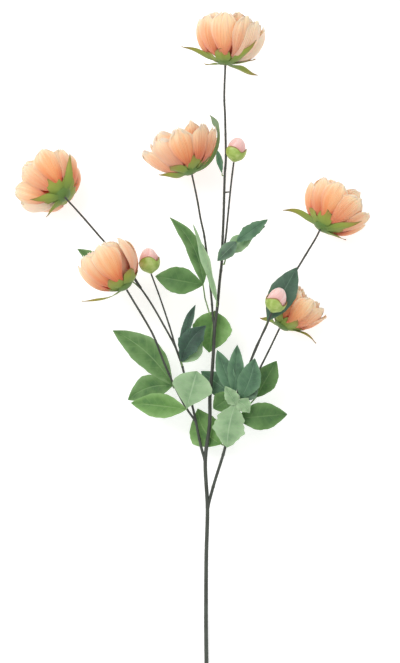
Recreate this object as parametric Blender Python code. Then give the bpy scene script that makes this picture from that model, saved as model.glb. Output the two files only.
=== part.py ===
"""A branching peony spray, laid down on a surface: six open blooms, three buds, and compound
leaves on one forked stem. Lengths are in metres, +Z is up, and the stem runs along +Y."""
import math
import random

import bmesh
import bpy
from mathutils import Matrix, Vector

# Driving dimensions
GAP = 0.0003                 # clearance between pieces that touch
PETAL_THICKNESS = 0.0007
LEAF_THICKNESS = 0.0008
STALK_RADIUS = 0.0010        # leaf stalks
MAIN_STEM_SIDES = 8
BRANCH_SIDES = 6
BUD_SIDES = 10
SHARP_ANGLE = math.radians(50)
BLOOM_CORE_RADIUS = 0.0085   # the receptacle that the petal roots sink into
BLOOM_CORE_HEIGHT = 0.0135
CALYX_RADIUS = 0.0115
SEPAL_ROOT = 0.0060          # distance of a sepal's root from the flower's axis
SEPAL_LENGTH = 0.0290        # the five broad sepals
SEPAL_WIDTH = 0.0195
LONG_SEPAL_WIDTH = 0.0120    # the narrow, leafy ones
STAMEN_LENGTH = 0.0150
STAMENS = 7
BUD_LENGTH = 0.0360
BUD_RADIUS = 0.0135

# All places below are measured from the stem's cut end on the surface. This one becomes the origin:
# the middle of the spray's box
ORIGIN = (-0.0189, 0.4472, 0.0)

# The stem's routes: each row is a point (x, y, z), and the radii are at the first and last point
STEM_ROUTES = {
    "main": (0.0029, 0.0023, [
        (0.0007, 0.0000, 0.0029), (0.0000, 0.0620, 0.0080), (0.0004, 0.1480, 0.0168),
        (0.0020, 0.2150, 0.0245), (-0.0010, 0.2800, 0.0330), (0.0050, 0.3300, 0.0390),
        (0.0055, 0.3700, 0.0435), (0.0086, 0.4040, 0.0475), (0.0104, 0.4320, 0.0510),
        (0.0118, 0.4640, 0.0545)]),
    "to_top_bloom": (0.0021, 0.0014, [
        (0.0118, 0.4640, 0.0545), (0.0157, 0.4920, 0.0580), (0.0190, 0.5280, 0.0620),
        (0.0215, 0.5500, 0.0645), (0.0227, 0.5790, 0.0680), (0.0244, 0.6200, 0.0725),
        (0.0258, 0.6710, 0.0780), (0.0274, 0.6970, 0.0810), (0.0263, 0.7520, 0.0870),
        (0.0252, 0.7800, 0.0900), (0.0266, 0.8225, 0.0930)]),
    "to_centre_bloom": (0.0016, 0.0013, [
        (0.0118, 0.4640, 0.0545), (0.0092, 0.4790, 0.0562), (0.0075, 0.5030, 0.0585),
        (-0.0010, 0.5800, 0.0645), (-0.0076, 0.6130, 0.0672), (-0.0125, 0.6410, 0.0695),
        (-0.0194, 0.6735, 0.0720)]),
    "to_top_bud": (0.0014, 0.0012, [
        (0.0215, 0.5500, 0.0645), (0.0270, 0.5845, 0.0725), (0.0307, 0.6205, 0.0800),
        (0.0346, 0.6586, 0.0870), (0.0382, 0.6880, 0.0920)]),
    "left": (0.0021, 0.0018, [
        (-0.0010, 0.2800, 0.0330), (-0.0070, 0.3000, 0.0345), (-0.0140, 0.3340, 0.0370)]),
    "to_left_pair": (0.0017, 0.0016, [
        (-0.0140, 0.3340, 0.0370), (-0.0190, 0.3560, 0.0378), (-0.0270, 0.3850, 0.0390),
        (-0.0330, 0.4110, 0.0403), (-0.0425, 0.4380, 0.0415)]),
    "to_far_left_bloom": (0.0014, 0.0013, [
        (-0.0425, 0.4380, 0.0415), (-0.0550, 0.4610, 0.0420), (-0.0750, 0.4960, 0.0425),
        (-0.0920, 0.5215, 0.0395), (-0.1190, 0.5595, 0.0370), (-0.1430, 0.5860, 0.0430),
        (-0.1700, 0.6155, 0.0600), (-0.1950, 0.6420, 0.0719)]),
    "to_left_bud": (0.0013, 0.0011, [
        (-0.0425, 0.4380, 0.0415), (-0.0490, 0.4610, 0.0440), (-0.0630, 0.5030, 0.0490),
        (-0.0760, 0.5380, 0.0520)]),
    "to_left_bloom": (0.0016, 0.0014, [
        (-0.0140, 0.3340, 0.0370), (-0.0270, 0.3520, 0.0430), (-0.0425, 0.3800, 0.0500),
        (-0.0580, 0.4140, 0.0600), (-0.0740, 0.4530, 0.0710), (-0.1010, 0.4980, 0.0860),
        (-0.1090, 0.5110, 0.0905)]),
    "right": (0.0022, 0.0017, [
        (0.0020, 0.2150, 0.0245), (0.0110, 0.2480, 0.0310), (0.0215, 0.2810, 0.0370),
        (0.0270, 0.3005, 0.0410), (0.0350, 0.3370, 0.0480), (0.0420, 0.3670, 0.0550),
        (0.0520, 0.3930, 0.0620), (0.0590, 0.4090, 0.0665)]),
    "to_right_bud": (0.0014, 0.0013, [
        (0.0590, 0.4090, 0.0665), (0.0690, 0.4340, 0.0765), (0.0820, 0.4590, 0.0870),
        (0.0900, 0.4790, 0.0960)]),
    "to_far_right_bloom": (0.0015, 0.0013, [
        (0.0590, 0.4090, 0.0665), (0.0660, 0.4250, 0.0695), (0.0830, 0.4640, 0.0735),
        (0.1025, 0.5030, 0.0755), (0.1245, 0.5400, 0.0755), (0.1401, 0.5660, 0.0730),
        (0.1510, 0.5845, 0.0685), (0.1575, 0.5975, 0.0650)]),
    "to_right_bloom": (0.0015, 0.0013, [
        (0.0420, 0.3670, 0.0550), (0.0550, 0.3820, 0.0500), (0.0690, 0.3975, 0.0480),
        (0.0770, 0.4120, 0.0480), (0.0890, 0.4360, 0.0482), (0.1015, 0.4620, 0.0490)]),
}

# The blooms: the stem that carries it, the axis's heading to the right of +Y and its dip below the
# horizontal, the petals' length (and the middle ring's share of it) and width, their angle off the
# axis at the root and at the tip, the side they lean to and by how much, the first petal's place
# round the axis, outer petals that are missing, the first broad sepal's place, and the long sepals:
# place, length, angle off the axis at the root and at the tip (degrees)
BLOOMS = {
    "top_bloom": dict(stem="to_top_bloom", heading=4, dip=5, length=0.078, inner=0.93, width=0.041,
                      root_angle=84, tip_angle=-16, lean_to=0, lean=6, phase=97, seed=11, sepal_phase=105,
                      long_sepals=[(176, 0.060, 64, 78), (42, 0.056, 78, 42), (-6, 0.037, 84, 60),
                                   (-34, 0.050, 100, 92), (200, 0.026, 100, 75)]),
    "centre_bloom": dict(stem="to_centre_bloom", heading=-20, dip=10, length=0.070, inner=1.00, width=0.042,
                         root_angle=86, tip_angle=8, lean_to=0, lean=2, phase=90, seed=12, sepal_phase=72,
                         long_sepals=[(178, 0.040, 84, 56), (8, 0.098, 92, -24)]),
    "far_left_bloom": dict(stem="to_far_left_bloom", heading=-38, dip=40, length=0.067, inner=0.98, width=0.044,
                           root_angle=80, tip_angle=8, lean_to=180, lean=6, phase=75, seed=13, sepal_phase=95,
                           long_sepals=[(32, 0.056, 72, 36), (150, 0.042, 84, 64), (204, 0.034, 88, 72)]),
    "left_bloom": dict(stem="to_left_bloom", heading=-30, dip=6, length=0.076, inner=0.93, width=0.043,
                       root_angle=80, tip_angle=-24, lean_to=180, lean=4, phase=100, missing=(8,), seed=14, sepal_phase=50,
                       long_sepals=[(188, 0.060, 95, 50)]),
    "far_right_bloom": dict(stem="to_far_right_bloom", heading=34, dip=20, length=0.069, inner=0.98, width=0.042,
                            root_angle=82, tip_angle=0, lean_to=0, lean=2, phase=100, seed=15, sepal_phase=100,
                            long_sepals=[(190, 0.056, 66, 122), (40, 0.056, 74, 48), (-12, 0.034, 80, 60)]),
    "right_bloom": dict(stem="to_right_bloom", heading=37, dip=5, length=0.064, inner=0.95, width=0.036,
                        root_angle=75, tip_angle=-6, lean_to=0, lean=2, phase=70, seed=16, sepal_phase=62,
                        long_sepals=[(-4, 0.050, 50, 100), (200, 0.028, 90, 110)]),
}
# Rings of petals, from the outside in: angles taken off, root radius and root height, rows and
# columns of cells, and which petals lie outside their neighbours
PETAL_RINGS = [
    dict(root_less=0, tip_less=0, root_radius=0.005, root_height=0.0060, cells=3,
         outside=(1, 0, 1, 0, 1, 0, 1, 0, 0)),
    dict(root_less=10, tip_less=14, root_radius=0.005, root_height=0.0095, cells=2, outside=(1, 0, 1, 0, 0)),
    dict(root_less=24, tip_less=20, root_radius=0.003, root_height=0.0130, cells=2, outside=(0, 0, 0)),
]
PETAL_ROWS = (0.38, 0.76, 1.0)
PETAL_WIDEST = 0.70          # where along its length a petal is widest
OUTSIDE_STEP = 0.0014
PETAL_TWIST = 5.0            # degrees, so that each petal's one edge lies over its neighbour

BUDS = {
    "top_bud": dict(stem="to_top_bud", heading=12, dip=-6, size=0.95, phase=10),
    "left_bud": dict(stem="to_left_bud", heading=-8, dip=4, size=1.0, phase=40),
    "right_bud": dict(stem="to_right_bud", heading=22, dip=-14, size=1.0, phase=70),
}

COLOURS = {
    "stem": (0.075, 0.085, 0.070), "petals": (0.92, 0.42, 0.22), "calyx": (0.22, 0.34, 0.06),
    "stamens": (0.85, 0.55, 0.10), "bud": (0.80, 0.46, 0.44), "bud_calyx": (0.35, 0.50, 0.12),
    "leaf": (0.09, 0.23, 0.07), "dark_leaf": (0.045, 0.13, 0.085), "pale_leaf": (0.23, 0.40, 0.26),
}


# Small tools

def clear_scene():
    for obj in list(bpy.data.objects):
        bpy.data.objects.remove(obj)


def material(name, colour, roughness):
    mat = bpy.data.materials.new(name)
    mat.use_nodes = True
    shader = mat.node_tree.nodes["Principled BSDF"]
    shader.inputs["Base Color"].default_value = (*colour, 1.0)
    shader.inputs["Roughness"].default_value = roughness
    shader.inputs["Metallic"].default_value = 0.0
    return mat


def new_object(name, bm):
    """Turn a closed bmesh into an object with its faces pointing out."""
    bmesh.ops.recalc_face_normals(bm, faces=bm.faces)
    mesh = bpy.data.meshes.new(name)
    bm.to_mesh(mesh)
    bm.free()
    obj = bpy.data.objects.new(name, mesh)
    bpy.context.scene.collection.objects.link(obj)
    return obj


def applied(obj):
    """Write the object's modifiers into its mesh."""
    graph = bpy.context.evaluated_depsgraph_get()
    mesh = bpy.data.meshes.new_from_object(obj.evaluated_get(graph))
    obj.modifiers.clear()
    obj.data = mesh
    return obj


def keep_largest_body(obj):
    """Fill sealed hollows and drop scraps: only the body with the most faces stays."""
    bm = bmesh.new()
    bm.from_mesh(obj.data)
    todo = set(bm.faces)
    bodies = []
    while todo:
        front = [todo.pop()]
        body = list(front)
        while front:
            face = front.pop()
            for edge in face.edges:
                for other in edge.link_faces:
                    if other in todo:
                        todo.remove(other)
                        front.append(other)
                        body.append(other)
        bodies.append(body)
    bodies.sort(key=len)
    for body in bodies[:-1]:
        bmesh.ops.delete(bm, geom=body, context="FACES")
    bmesh.ops.triangulate(bm, faces=bm.faces)
    bm.to_mesh(obj.data)
    bm.free()


def union(name, pieces, mat):
    """Join closed pieces that overlap into one body."""
    target = pieces[0]
    target.name = name
    if len(pieces) > 1:
        others = bpy.data.collections.new(name + "_pieces")
        for piece in pieces[1:]:
            others.objects.link(piece)
        joint = target.modifiers.new("union", "BOOLEAN")
        joint.operation = "UNION"
        joint.operand_type = "COLLECTION"
        joint.collection = others
        joint.solver = "MANIFOLD"
        applied(target)
        for piece in pieces[1:]:
            bpy.data.objects.remove(piece)
        bpy.data.collections.remove(others)
    keep_largest_body(target)
    target.data.materials.clear()
    target.data.materials.append(mat)
    target.data.shade_smooth()
    target.data.set_sharp_from_angle(angle=SHARP_ANGLE)
    return target


def polar(degrees):
    angle = math.radians(degrees)
    return math.cos(angle), math.sin(angle)


# Shapes that the sub-parts share

def tube(points, radii, sides, first_direction=None):
    """A round, closed rod through the points, with one radius for each point."""
    points = [Vector(p) for p in points]
    bm = bmesh.new()
    rings = []
    side = None
    for i, point in enumerate(points):
        ahead = points[min(i + 1, len(points) - 1)] - points[max(i - 1, 0)]
        if i == 0 and first_direction is not None:
            ahead = Vector(first_direction)
        ahead.normalize()
        if side is None:
            side = ahead.orthogonal().normalized()
        side = (side - ahead * side.dot(ahead)).normalized()
        across = ahead.cross(side)
        ring = []
        for k in range(sides):
            c, s = polar(360.0 * k / sides)
            ring.append(bm.verts.new(point + (side * c + across * s) * radii[i]))
        rings.append(ring)
    for low, high in zip(rings, rings[1:]):
        for k in range(sides):
            m = (k + 1) % sides
            bm.faces.new((low[k], low[m], high[m], high[k]))
    bm.faces.new(rings[0])
    bm.faces.new(rings[-1])
    bmesh.ops.triangulate(bm, faces=bm.faces)
    return new_object("tube", bm)


def blade(rows, thickness):
    """A thin closed sheet through rows of points; a row of one point is a pointed end.
    The sheet is cut into triangles before it is thickened, so both faces match."""
    bm = bmesh.new()
    grid = [[bm.verts.new(p) for p in row] for row in rows]
    for low, high in zip(grid, grid[1:]):
        for k in range(max(len(low), len(high)) - 1):
            if len(high) == 1:
                bm.faces.new((low[k], low[k + 1], high[0]))
            elif len(low) == 1:
                bm.faces.new((low[0], high[k + 1], high[k]))
            elif k < len(low) // 2:
                bm.faces.new((low[k], low[k + 1], high[k + 1]))
                bm.faces.new((low[k], high[k + 1], high[k]))
            else:
                bm.faces.new((low[k], low[k + 1], high[k]))
                bm.faces.new((low[k + 1], high[k + 1], high[k]))
    mesh = bpy.data.meshes.new("blade")
    bm.to_mesh(mesh)
    bm.free()
    obj = bpy.data.objects.new("blade", mesh)
    bpy.context.scene.collection.objects.link(obj)
    thicken = obj.modifiers.new("thicken", "SOLIDIFY")
    thicken.thickness = thickness
    thicken.offset = 0.0
    return applied(obj)


def turned(frame, profile, sides):
    """A closed turned body: profile rows are (radius, height) along the frame's axis, from the
    bottom to the top, and a radius of 0 closes an end."""
    base, side, front, axis = frame
    bm = bmesh.new()
    rings = []
    for radius, height in profile:
        if radius == 0:
            rings.append([bm.verts.new(base + axis * height)])
            continue
        ring = []
        for k in range(sides):
            c, s = polar(360.0 * k / sides)
            ring.append(bm.verts.new(base + axis * height + (side * c + front * s) * radius))
        rings.append(ring)
    for low, high in zip(rings, rings[1:]):
        for k in range(sides):
            m = (k + 1) % sides
            if len(low) == 1:
                bm.faces.new((low[0], high[m], high[k]))
            elif len(high) == 1:
                bm.faces.new((low[k], low[m], high[0]))
            else:
                bm.faces.new((low[k], low[m], high[m], high[k]))
    bmesh.ops.triangulate(bm, faces=bm.faces)
    return new_object("turned", bm)


def flower_frame(flower):
    """The frame of a bloom or bud: its foot just clear of its stem's end, its right side, its
    upper side and its axis."""
    cos_h, sin_h = polar(flower["heading"])
    cos_d, sin_d = polar(flower["dip"])
    axis = Vector((sin_h * cos_d, cos_h * cos_d, -sin_d))
    side = Vector((cos_h, -sin_h, 0.0))
    first_radius, last_radius, points = STEM_ROUTES[flower["stem"]]
    end = Vector(points[-1])
    kink = (end - Vector(points[-2])).angle(axis)
    base = end + axis * (GAP + last_radius * math.sin(kink))
    return base, side, side.cross(axis), axis


def around(frame, azimuth):
    """The outward and the sideways direction at an azimuth round a flower's axis."""
    base, side, front, axis = frame
    c, s = polar(azimuth)
    return side * c + front * s, front * c - side * s


def arc(start_angle, end_angle, length, share):
    """Where a line that bends evenly from one angle off the axis to another has got to."""
    begin = math.radians(start_angle)
    turn = math.radians(end_angle - start_angle)
    now = begin + turn * share
    if abs(turn) < 0.001:
        return length * share * math.sin(begin), length * share * math.cos(begin), now
    out = length * (math.cos(begin) - math.cos(now)) / turn
    up = length * (math.sin(now) - math.sin(begin)) / turn
    return out, up, now


# Stem

def stem():
    pieces = []
    for name, (first_radius, last_radius, points) in STEM_ROUTES.items():
        last = len(points) - 1
        radii = [first_radius + (last_radius - first_radius) * i / last for i in range(last + 1)]
        sides = MAIN_STEM_SIDES if name == "main" else BRANCH_SIDES
        pieces.append(tube(points, radii, sides))
    return union("stem", pieces, material("stem", COLOURS["stem"], 0.6))


# Blooms

def petal_width(share):
    """The petal's width along its length, as a share of its widest: a claw, then a broad, round end."""
    if share < PETAL_WIDEST:
        return 0.12 + 0.88 * math.sin(0.5 * math.pi * share / PETAL_WIDEST) ** 1.9
    return 1.0 - 0.62 * ((share - PETAL_WIDEST) / (1.0 - PETAL_WIDEST)) ** 3.3


def petal(frame, azimuth, lean, size, broad, outside, bloom, ring):
    """One cupped petal with a rounded end."""
    base, side, front, axis = frame
    outward, sideways = around(frame, azimuth)
    length = bloom["length"] * size
    half_width = bloom["width"] * size * broad / 2
    root_angle = bloom["root_angle"] - ring["root_less"] + lean * 0.5
    tip_angle = bloom["tip_angle"] - ring["tip_less"] + lean
    root_radius = ring["root_radius"] + OUTSIDE_STEP * outside
    root_height = ring["root_height"] - OUTSIDE_STEP * 0.5 * outside
    cos_t, sin_t = polar(PETAL_TWIST)
    rows = [[base + outward * root_radius + axis * root_height]]
    for u in PETAL_ROWS:
        row = []
        for k in range(ring["cells"] + 1):
            v = 2.0 * k / ring["cells"] - 1.0
            out, up, angle = arc(root_angle, tip_angle, length, u * (1.0 - 0.055 * v * v * u * u))
            away = outward * math.cos(angle) - axis * math.sin(angle)
            cup = 0.014 + 0.016 * u
            bend = v * half_width * petal_width(u) / cup
            lateral = cup * math.sin(bend)
            point = base + outward * (root_radius + out) + axis * (root_height + up)
            point += (sideways * cos_t + away * sin_t) * lateral
            point -= away * cup * (1.0 - math.cos(bend))
            row.append(point)
        rows.append(row)
    return blade(rows, PETAL_THICKNESS)


def petals(name, bloom):
    frame = flower_frame(bloom)
    rng = random.Random(bloom["seed"])
    top = BLOOM_CORE_HEIGHT + 0.0032
    radius = BLOOM_CORE_RADIUS
    profile = [(0, 0.0032), (radius * 0.6, 0.0040), (radius, 0.0085), (radius * 0.75, top - 0.002), (0, top)]
    pieces = [turned(frame, profile, 8)]
    for number, ring in enumerate(PETAL_RINGS):
        step = 360.0 / len(ring["outside"])
        for k, outside in enumerate(ring["outside"]):
            azimuth = bloom["phase"] + step * (k + 0.5 * number) + rng.uniform(-3, 3)
            lean = bloom["lean"] * math.cos(math.radians(azimuth - bloom["lean_to"])) + rng.uniform(-2, 2)
            size = (1.0, bloom["inner"], 0.8 * bloom["inner"])[number] * rng.uniform(0.97, 1.03)
            broad = rng.uniform(0.90, 1.10)
            if number == 0 and k in bloom.get("missing", ()):
                continue
            pieces.append(petal(frame, azimuth, lean, size, broad, outside, bloom, ring))
    return union(name + "_petals", pieces, material(name + "_petals", COLOURS["petals"], 0.7))


def sepal_width(share, long):
    """A sepal's width along its length: broad and blunt, or drawn out like a leaf."""
    widest = 0.36 if long else 0.45
    rise = 0.48 + 0.52 * math.sin(0.5 * math.pi * min(share / widest, 1.0))
    return rise * (1.0 - max((share - widest) / (1.0 - widest), 0.0) ** (1.3 if long else 2.6))


def sepal(frame, azimuth, height, length, width, start_angle, end_angle, long=False):
    """A leafy scale that springs from the calyx and follows the petals' outside."""
    base, side, front, axis = frame
    outward, sideways = around(frame, azimuth)
    rows = []
    for u in (0.0, 0.38, 0.74, 1.0) if long else (0.0, 0.48, 1.0):
        out, up, angle = arc(start_angle, end_angle, length, u)
        point = base + outward * (SEPAL_ROOT + out) + axis * (height + up)
        away = outward * math.cos(angle) - axis * math.sin(angle)
        half = width / 2 * sepal_width(u, long)
        edges = (0,) if u in (0.0, 1.0) else (-1, 0, 1)
        curl = 0.25 if long else 0.12
        rows.append([point + sideways * half * v - away * half * curl * abs(v) for v in edges])
    return blade(rows, LEAF_THICKNESS)


def calyx(name, bloom):
    frame = flower_frame(bloom)
    r = CALYX_RADIUS
    profile = [(0, 0.0), (r * 0.72, 0.0018), (r, 0.0040), (r * 0.96, 0.0045), (r * 0.70, 0.0034), (0, 0.0028)]
    pieces = [turned(frame, profile, 8)]
    root = bloom["root_angle"]
    for k in range(5):
        azimuth = bloom["sepal_phase"] + 72 * k
        lean = bloom["lean"] * math.cos(math.radians(azimuth - bloom["lean_to"]))
        pieces.append(sepal(frame, azimuth, 0.0014, SEPAL_LENGTH, SEPAL_WIDTH,
                            root - 6 + lean * 0.6, root - 34 + lean * 0.8))
    for azimuth, length, start_angle, end_angle in bloom["long_sepals"]:
        pieces.append(sepal(frame, azimuth, 0.0018, length, LONG_SEPAL_WIDTH, start_angle, end_angle, True))
    return union(name + "_calyx", pieces, material(name + "_calyx", COLOURS["calyx"], 0.6))


def stamens(name, bloom):
    frame = flower_frame(bloom)
    base, side, front, axis = frame
    foot = BLOOM_CORE_HEIGHT + 0.0032 + GAP
    pieces = [turned(frame, [(0, foot), (0.0042, foot), (0.0038, foot + 0.002), (0, foot + 0.003)], 8)]
    rng = random.Random(bloom["seed"] + 50)
    for k in range(STAMENS):
        azimuth = 137.5 * k
        spread = math.sqrt((k + 0.5) / STAMENS)
        outward, sideways = around(frame, azimuth)
        low = base + axis * (foot + 0.001) + outward * 0.0030 * spread
        top = base + axis * (foot + STAMEN_LENGTH * rng.uniform(0.8, 1.0)) + outward * 0.0085 * spread
        pieces.append(tube([low, top], [0.0004, 0.0008], 3))
    return union(name + "_stamens", pieces, material(name + "_stamens", COLOURS["stamens"], 0.7))


# Buds

def bud_radius(height):
    """The bud's radius at a height from 0 to 1: a ball drawn out to a blunt tip."""
    return math.sqrt(max(0.0, 1.0 - (2.0 * height ** 0.85 - 1.0) ** 2))


def bud_petals(name, bud):
    frame = flower_frame(bud)
    length = BUD_LENGTH * bud["size"]
    radius = BUD_RADIUS * bud["size"]
    foot = 0.0025
    heights = (0.08, 0.22, 0.40, 0.58, 0.75, 0.90)
    profile = [(0, foot)]
    profile += [(radius * bud_radius(h), foot + (length - foot) * h) for h in heights]
    profile.append((0, length))
    body = turned(frame, profile, BUD_SIDES)
    return union(name + "_petals", [body], material(name + "_petals", COLOURS["bud"], 0.7))


def bud_calyx(name, bud):
    """Rounded green scales that hold the bud's lower half, as a cup with a lobed rim."""
    frame = flower_frame(bud)
    base, side, front, axis = frame
    length = BUD_LENGTH * bud["size"]
    radius = BUD_RADIUS * bud["size"]
    foot = 0.0025
    sides = BUD_SIDES
    inner, outer = [], []
    bm = bmesh.new()
    for rise in (0.0, 0.3, 0.65, 1.0):
        inner_ring, outer_ring = [], []
        for k in range(sides):
            azimuth = 360.0 * k / sides
            rim = 0.44 + 0.10 * math.cos(math.radians(3 * azimuth + bud["phase"]))
            h = 0.08 + (rim - 0.08) * rise
            outward, sideways = around(frame, azimuth)
            middle = base + axis * (foot + (length - foot) * h)
            r = radius * bud_radius(h) + 0.0007
            inner_ring.append(bm.verts.new(middle + outward * r))
            outer_ring.append(bm.verts.new(middle + outward * (r + 0.0009) - axis * 0.0006))
        inner.append(inner_ring)
        outer.append(outer_ring)
    for k in range(sides):
        m = (k + 1) % sides
        for rings in (inner, outer):
            for low, high in zip(rings, rings[1:]):
                bm.faces.new((low[k], low[m], high[m], high[k]))
        bm.faces.new((inner[-1][k], inner[-1][m], outer[-1][m], outer[-1][k]))
    well = bm.verts.new(base + axis * (foot - GAP * 2))
    heel = bm.verts.new(base)
    for k in range(sides):
        m = (k + 1) % sides
        bm.faces.new((inner[0][k], inner[0][m], well))
        bm.faces.new((outer[0][k], outer[0][m], heel))
    bmesh.ops.triangulate(bm, faces=bm.faces)
    body = new_object("cup", bm)
    return union(name + "_calyx", [body], material(name + "_calyx", COLOURS["bud_calyx"], 0.6))


# Leaves

def leaflet(base, tip, width, widest=0.42, arch=0.006, sweep=0.0, roll=0, fold=18, cells=(5, 2)):
    """One pointed blade: arch lifts its middle, sweep bends it sideways in its own plane, roll
    turns it about its length, and fold raises its two halves to a V."""
    base = Vector(base)
    run = Vector(tip) - base
    ahead = run.normalized()
    right = ahead.cross(Vector((0, 0, 1))).normalized()
    normal = right.cross(ahead)
    cos_r, sin_r = polar(roll)
    right, normal = right * cos_r + normal * sin_r, normal * cos_r - right * sin_r
    power = math.log(0.5) / math.log(widest)
    cos_f, sin_f = polar(fold)
    along, across = cells
    rows = [[base]]
    for i in range(1, along):
        u = i / along
        hump = 4.0 * u * (1.0 - u)
        middle = base + run * u + normal * arch * hump + right * sweep * hump
        half = width / 2 * math.sin(math.pi * u ** power) ** 0.9
        row = []
        for k in range(across + 1):
            v = 2.0 * k / across - 1.0
            lift = half * sin_f * (abs(v) - 0.35 * v * v)
            row.append(middle + right * half * cos_f * v + normal * lift)
        rows.append(row)
    rows.append([Vector(tip)])
    return blade(rows, LEAF_THICKNESS)


def stalk(points, start=None, radius=STALK_RADIUS):
    """A leaf stalk. Where it starts at the stem, start is (route, point number, direction): its
    end face lies flat along the bark, a small gap off it."""
    points = [Vector(p) for p in points]
    direction = None
    if start is not None:
        route, number, towards = start
        first_radius, last_radius, stem_points = STEM_ROUTES[route]
        place = Vector(stem_points[number])
        share = number / (len(stem_points) - 1)
        bark = first_radius + (last_radius - first_radius) * share
        before = Vector(stem_points[max(number - 1, 0)])
        after = Vector(stem_points[min(number + 1, len(stem_points) - 1)])
        ahead = (after - before).normalized()
        direction = Vector(towards)
        direction = (direction - ahead * direction.dot(ahead)).normalized()
        foot = place + direction * (bark + GAP)
        points = [foot, foot + direction * 0.0015] + points
    points[-1] += (points[-1] - points[-2]).normalized() * radius
    return tube(points, [radius] * len(points), 6, direction)


def leaf(name, pieces, colour="leaf"):
    return union(name, pieces, material(name, COLOURS[colour], 0.6))


def leaf_upper_left():
    joint = (-0.0040, 0.5210, 0.0640)
    return leaf("leaf_upper_left", [
        stalk([(0.0030, 0.4880, 0.0590), (-0.0015, 0.5030, 0.0610), joint],
              ("to_centre_bloom", 1, (-1, 0, 0.2))),
        leaflet(joint, (-0.0505, 0.6150, 0.0660), 0.028, 0.45, 0.001, 0.012, -24, 14, (5, 4)),
        leaflet(joint, (-0.0700, 0.5330, 0.0640), 0.038, 0.50, 0.006, 0.0, 5, 10, (5, 4)),
    ])


def leaf_slim():
    joint = (0.0150, 0.4975, 0.0640)
    return leaf("leaf_slim", [
        stalk([joint], ("to_top_bloom", 1, (-0.2, 0, 1))),
        leaflet(joint, (-0.0180, 0.6040, 0.0760), 0.016, 0.45, 0.004, 0.008, 48, 20, (6, 2)),
    ], "pale_leaf")


def leaf_upper_right():
    joint = (0.0290, 0.5640, 0.0690)
    fork = (0.0420, 0.5790, 0.0800)
    return leaf("leaf_upper_right", [
        stalk([joint, (0.0350, 0.5710, 0.0740), fork], ("to_top_bloom", 3, (1, 0, 0.1))),
        leaflet(fork, (0.0158, 0.5530, 0.0745), 0.021, 0.45, 0.006, 0.0, 0, -14),
        leaflet(fork, (0.0850, 0.6090, 0.0860), 0.020, 0.45, 0.004, 0.0, 0, 14),
        leaflet(fork, (0.0820, 0.6010, 0.0790), 0.016, 0.45, -0.002, -0.002, 0, 10, (4, 2)),
        leaflet(joint, (0.0640, 0.5850, 0.0690), 0.024, 0.50, 0.001, -0.004, 0, 10),
    ], "dark_leaf")


def leaf_inner_left():
    joint = (-0.0340, 0.4150, 0.0490)
    return leaf("leaf_inner_left", [
        stalk([(-0.0330, 0.4120, 0.0465), joint], ("to_left_pair", 3, (0.0, 0, 1))),
        leaflet(joint, (-0.0145, 0.4940, 0.0600), 0.015, 0.60, 0.004, -0.003, 25, 14, (4, 2)),
        leaflet(joint, (0.0000, 0.4650, 0.0600), 0.031, 0.52, 0.005, -0.006, 0, 16, (4, 4)),
        leaflet(joint, (-0.0060, 0.4480, 0.0540), 0.024, 0.50, -0.003, 0.003, 5, 12, (4, 2)),
    ], "dark_leaf")


def leaf_left():
    joint = (-0.0460, 0.3830, 0.0470)
    return leaf("leaf_left", [
        stalk([joint], ("to_left_bloom", 2, (-0.6, 0.2, -0.6))),
        leaflet(joint, (-0.1290, 0.4600, 0.0420), 0.041, 0.50, 0.003, 0.009, 0, 12, (5, 4)),
        leaflet(joint, (-0.1080, 0.3640, 0.0380), 0.036, 0.48, 0.004, 0.007, 0, 10, (4, 4)),
    ])


def leaf_fan():
    joint = (-0.0270, 0.3500, 0.0500)
    return leaf("leaf_fan", [
        stalk([joint], ("to_left_bloom", 1, (-0.1, -0.2, 1))),
        leaflet(joint, (-0.0125, 0.4020, 0.0600), 0.056, 0.62, 0.005, 0.0, 0, 8, (5, 4)),
        leaflet(joint, (-0.1035, 0.3590, 0.0480), 0.035, 0.48, 0.006, 0.0, 0, 12, (5, 4)),
    ])


def leaf_inner_right():
    joint = (0.0385, 0.3690, 0.0585)
    return leaf("leaf_inner_right", [
        stalk([joint], ("right", 5, (-1, 0, 0.4))),
        leaflet(joint, (0.0152, 0.4307, 0.0640), 0.025, 0.50, 0.004, 0.0, 0, 14, (4, 2)),
        leaflet(joint, (0.0430, 0.4375, 0.0680), 0.023, 0.50, 0.004, 0.0, 0, 14, (4, 2)),
        leaflet(joint, (-0.0069, 0.4044, 0.0330), 0.032, 0.52, -0.008, 0.0, 0, 6, (5, 2)),
        leaflet(joint, (0.0100, 0.3515, 0.0440), 0.030, 0.50, 0.002, 0.0, 0, 10, (4, 2)),
    ], "dark_leaf")


def leaf_outer_right():
    joint = (0.0480, 0.3640, 0.0580)
    return leaf("leaf_outer_right", [
        stalk([joint], ("right", 5, (1, -0.3, 0.5))),
        leaflet(joint, (0.0670, 0.4180, 0.0760), 0.032, 0.48, 0.003, 0.003, 0, 8, (5, 4)),
        leaflet(joint, (0.0720, 0.3800, 0.0580), 0.026, 0.52, 0.001, -0.002, 0, 8),
    ])


def leaf_bent():
    joint = (0.0420, 0.3600, 0.0625)
    return leaf("leaf_bent", [
        stalk([(0.0420, 0.3660, 0.0600), joint], ("right", 5, (0.0, -0.1, 1))),
        leaflet(joint, (0.0290, 0.2965, 0.0560), 0.044, 0.52, 0.003, 0.003, 0, -12, (5, 4)),
        leaflet((0.0420, 0.3550, 0.0630), (0.0262, 0.3800, 0.0690), 0.026, 0.46, 0.001, 0.0, 0, 12, (4, 2)),
        leaflet(joint, (0.0600, 0.3440, 0.0600), 0.026, 0.45, 0.002, 0.0, 0, 8, (4, 2)),
    ], "pale_leaf")


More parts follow.
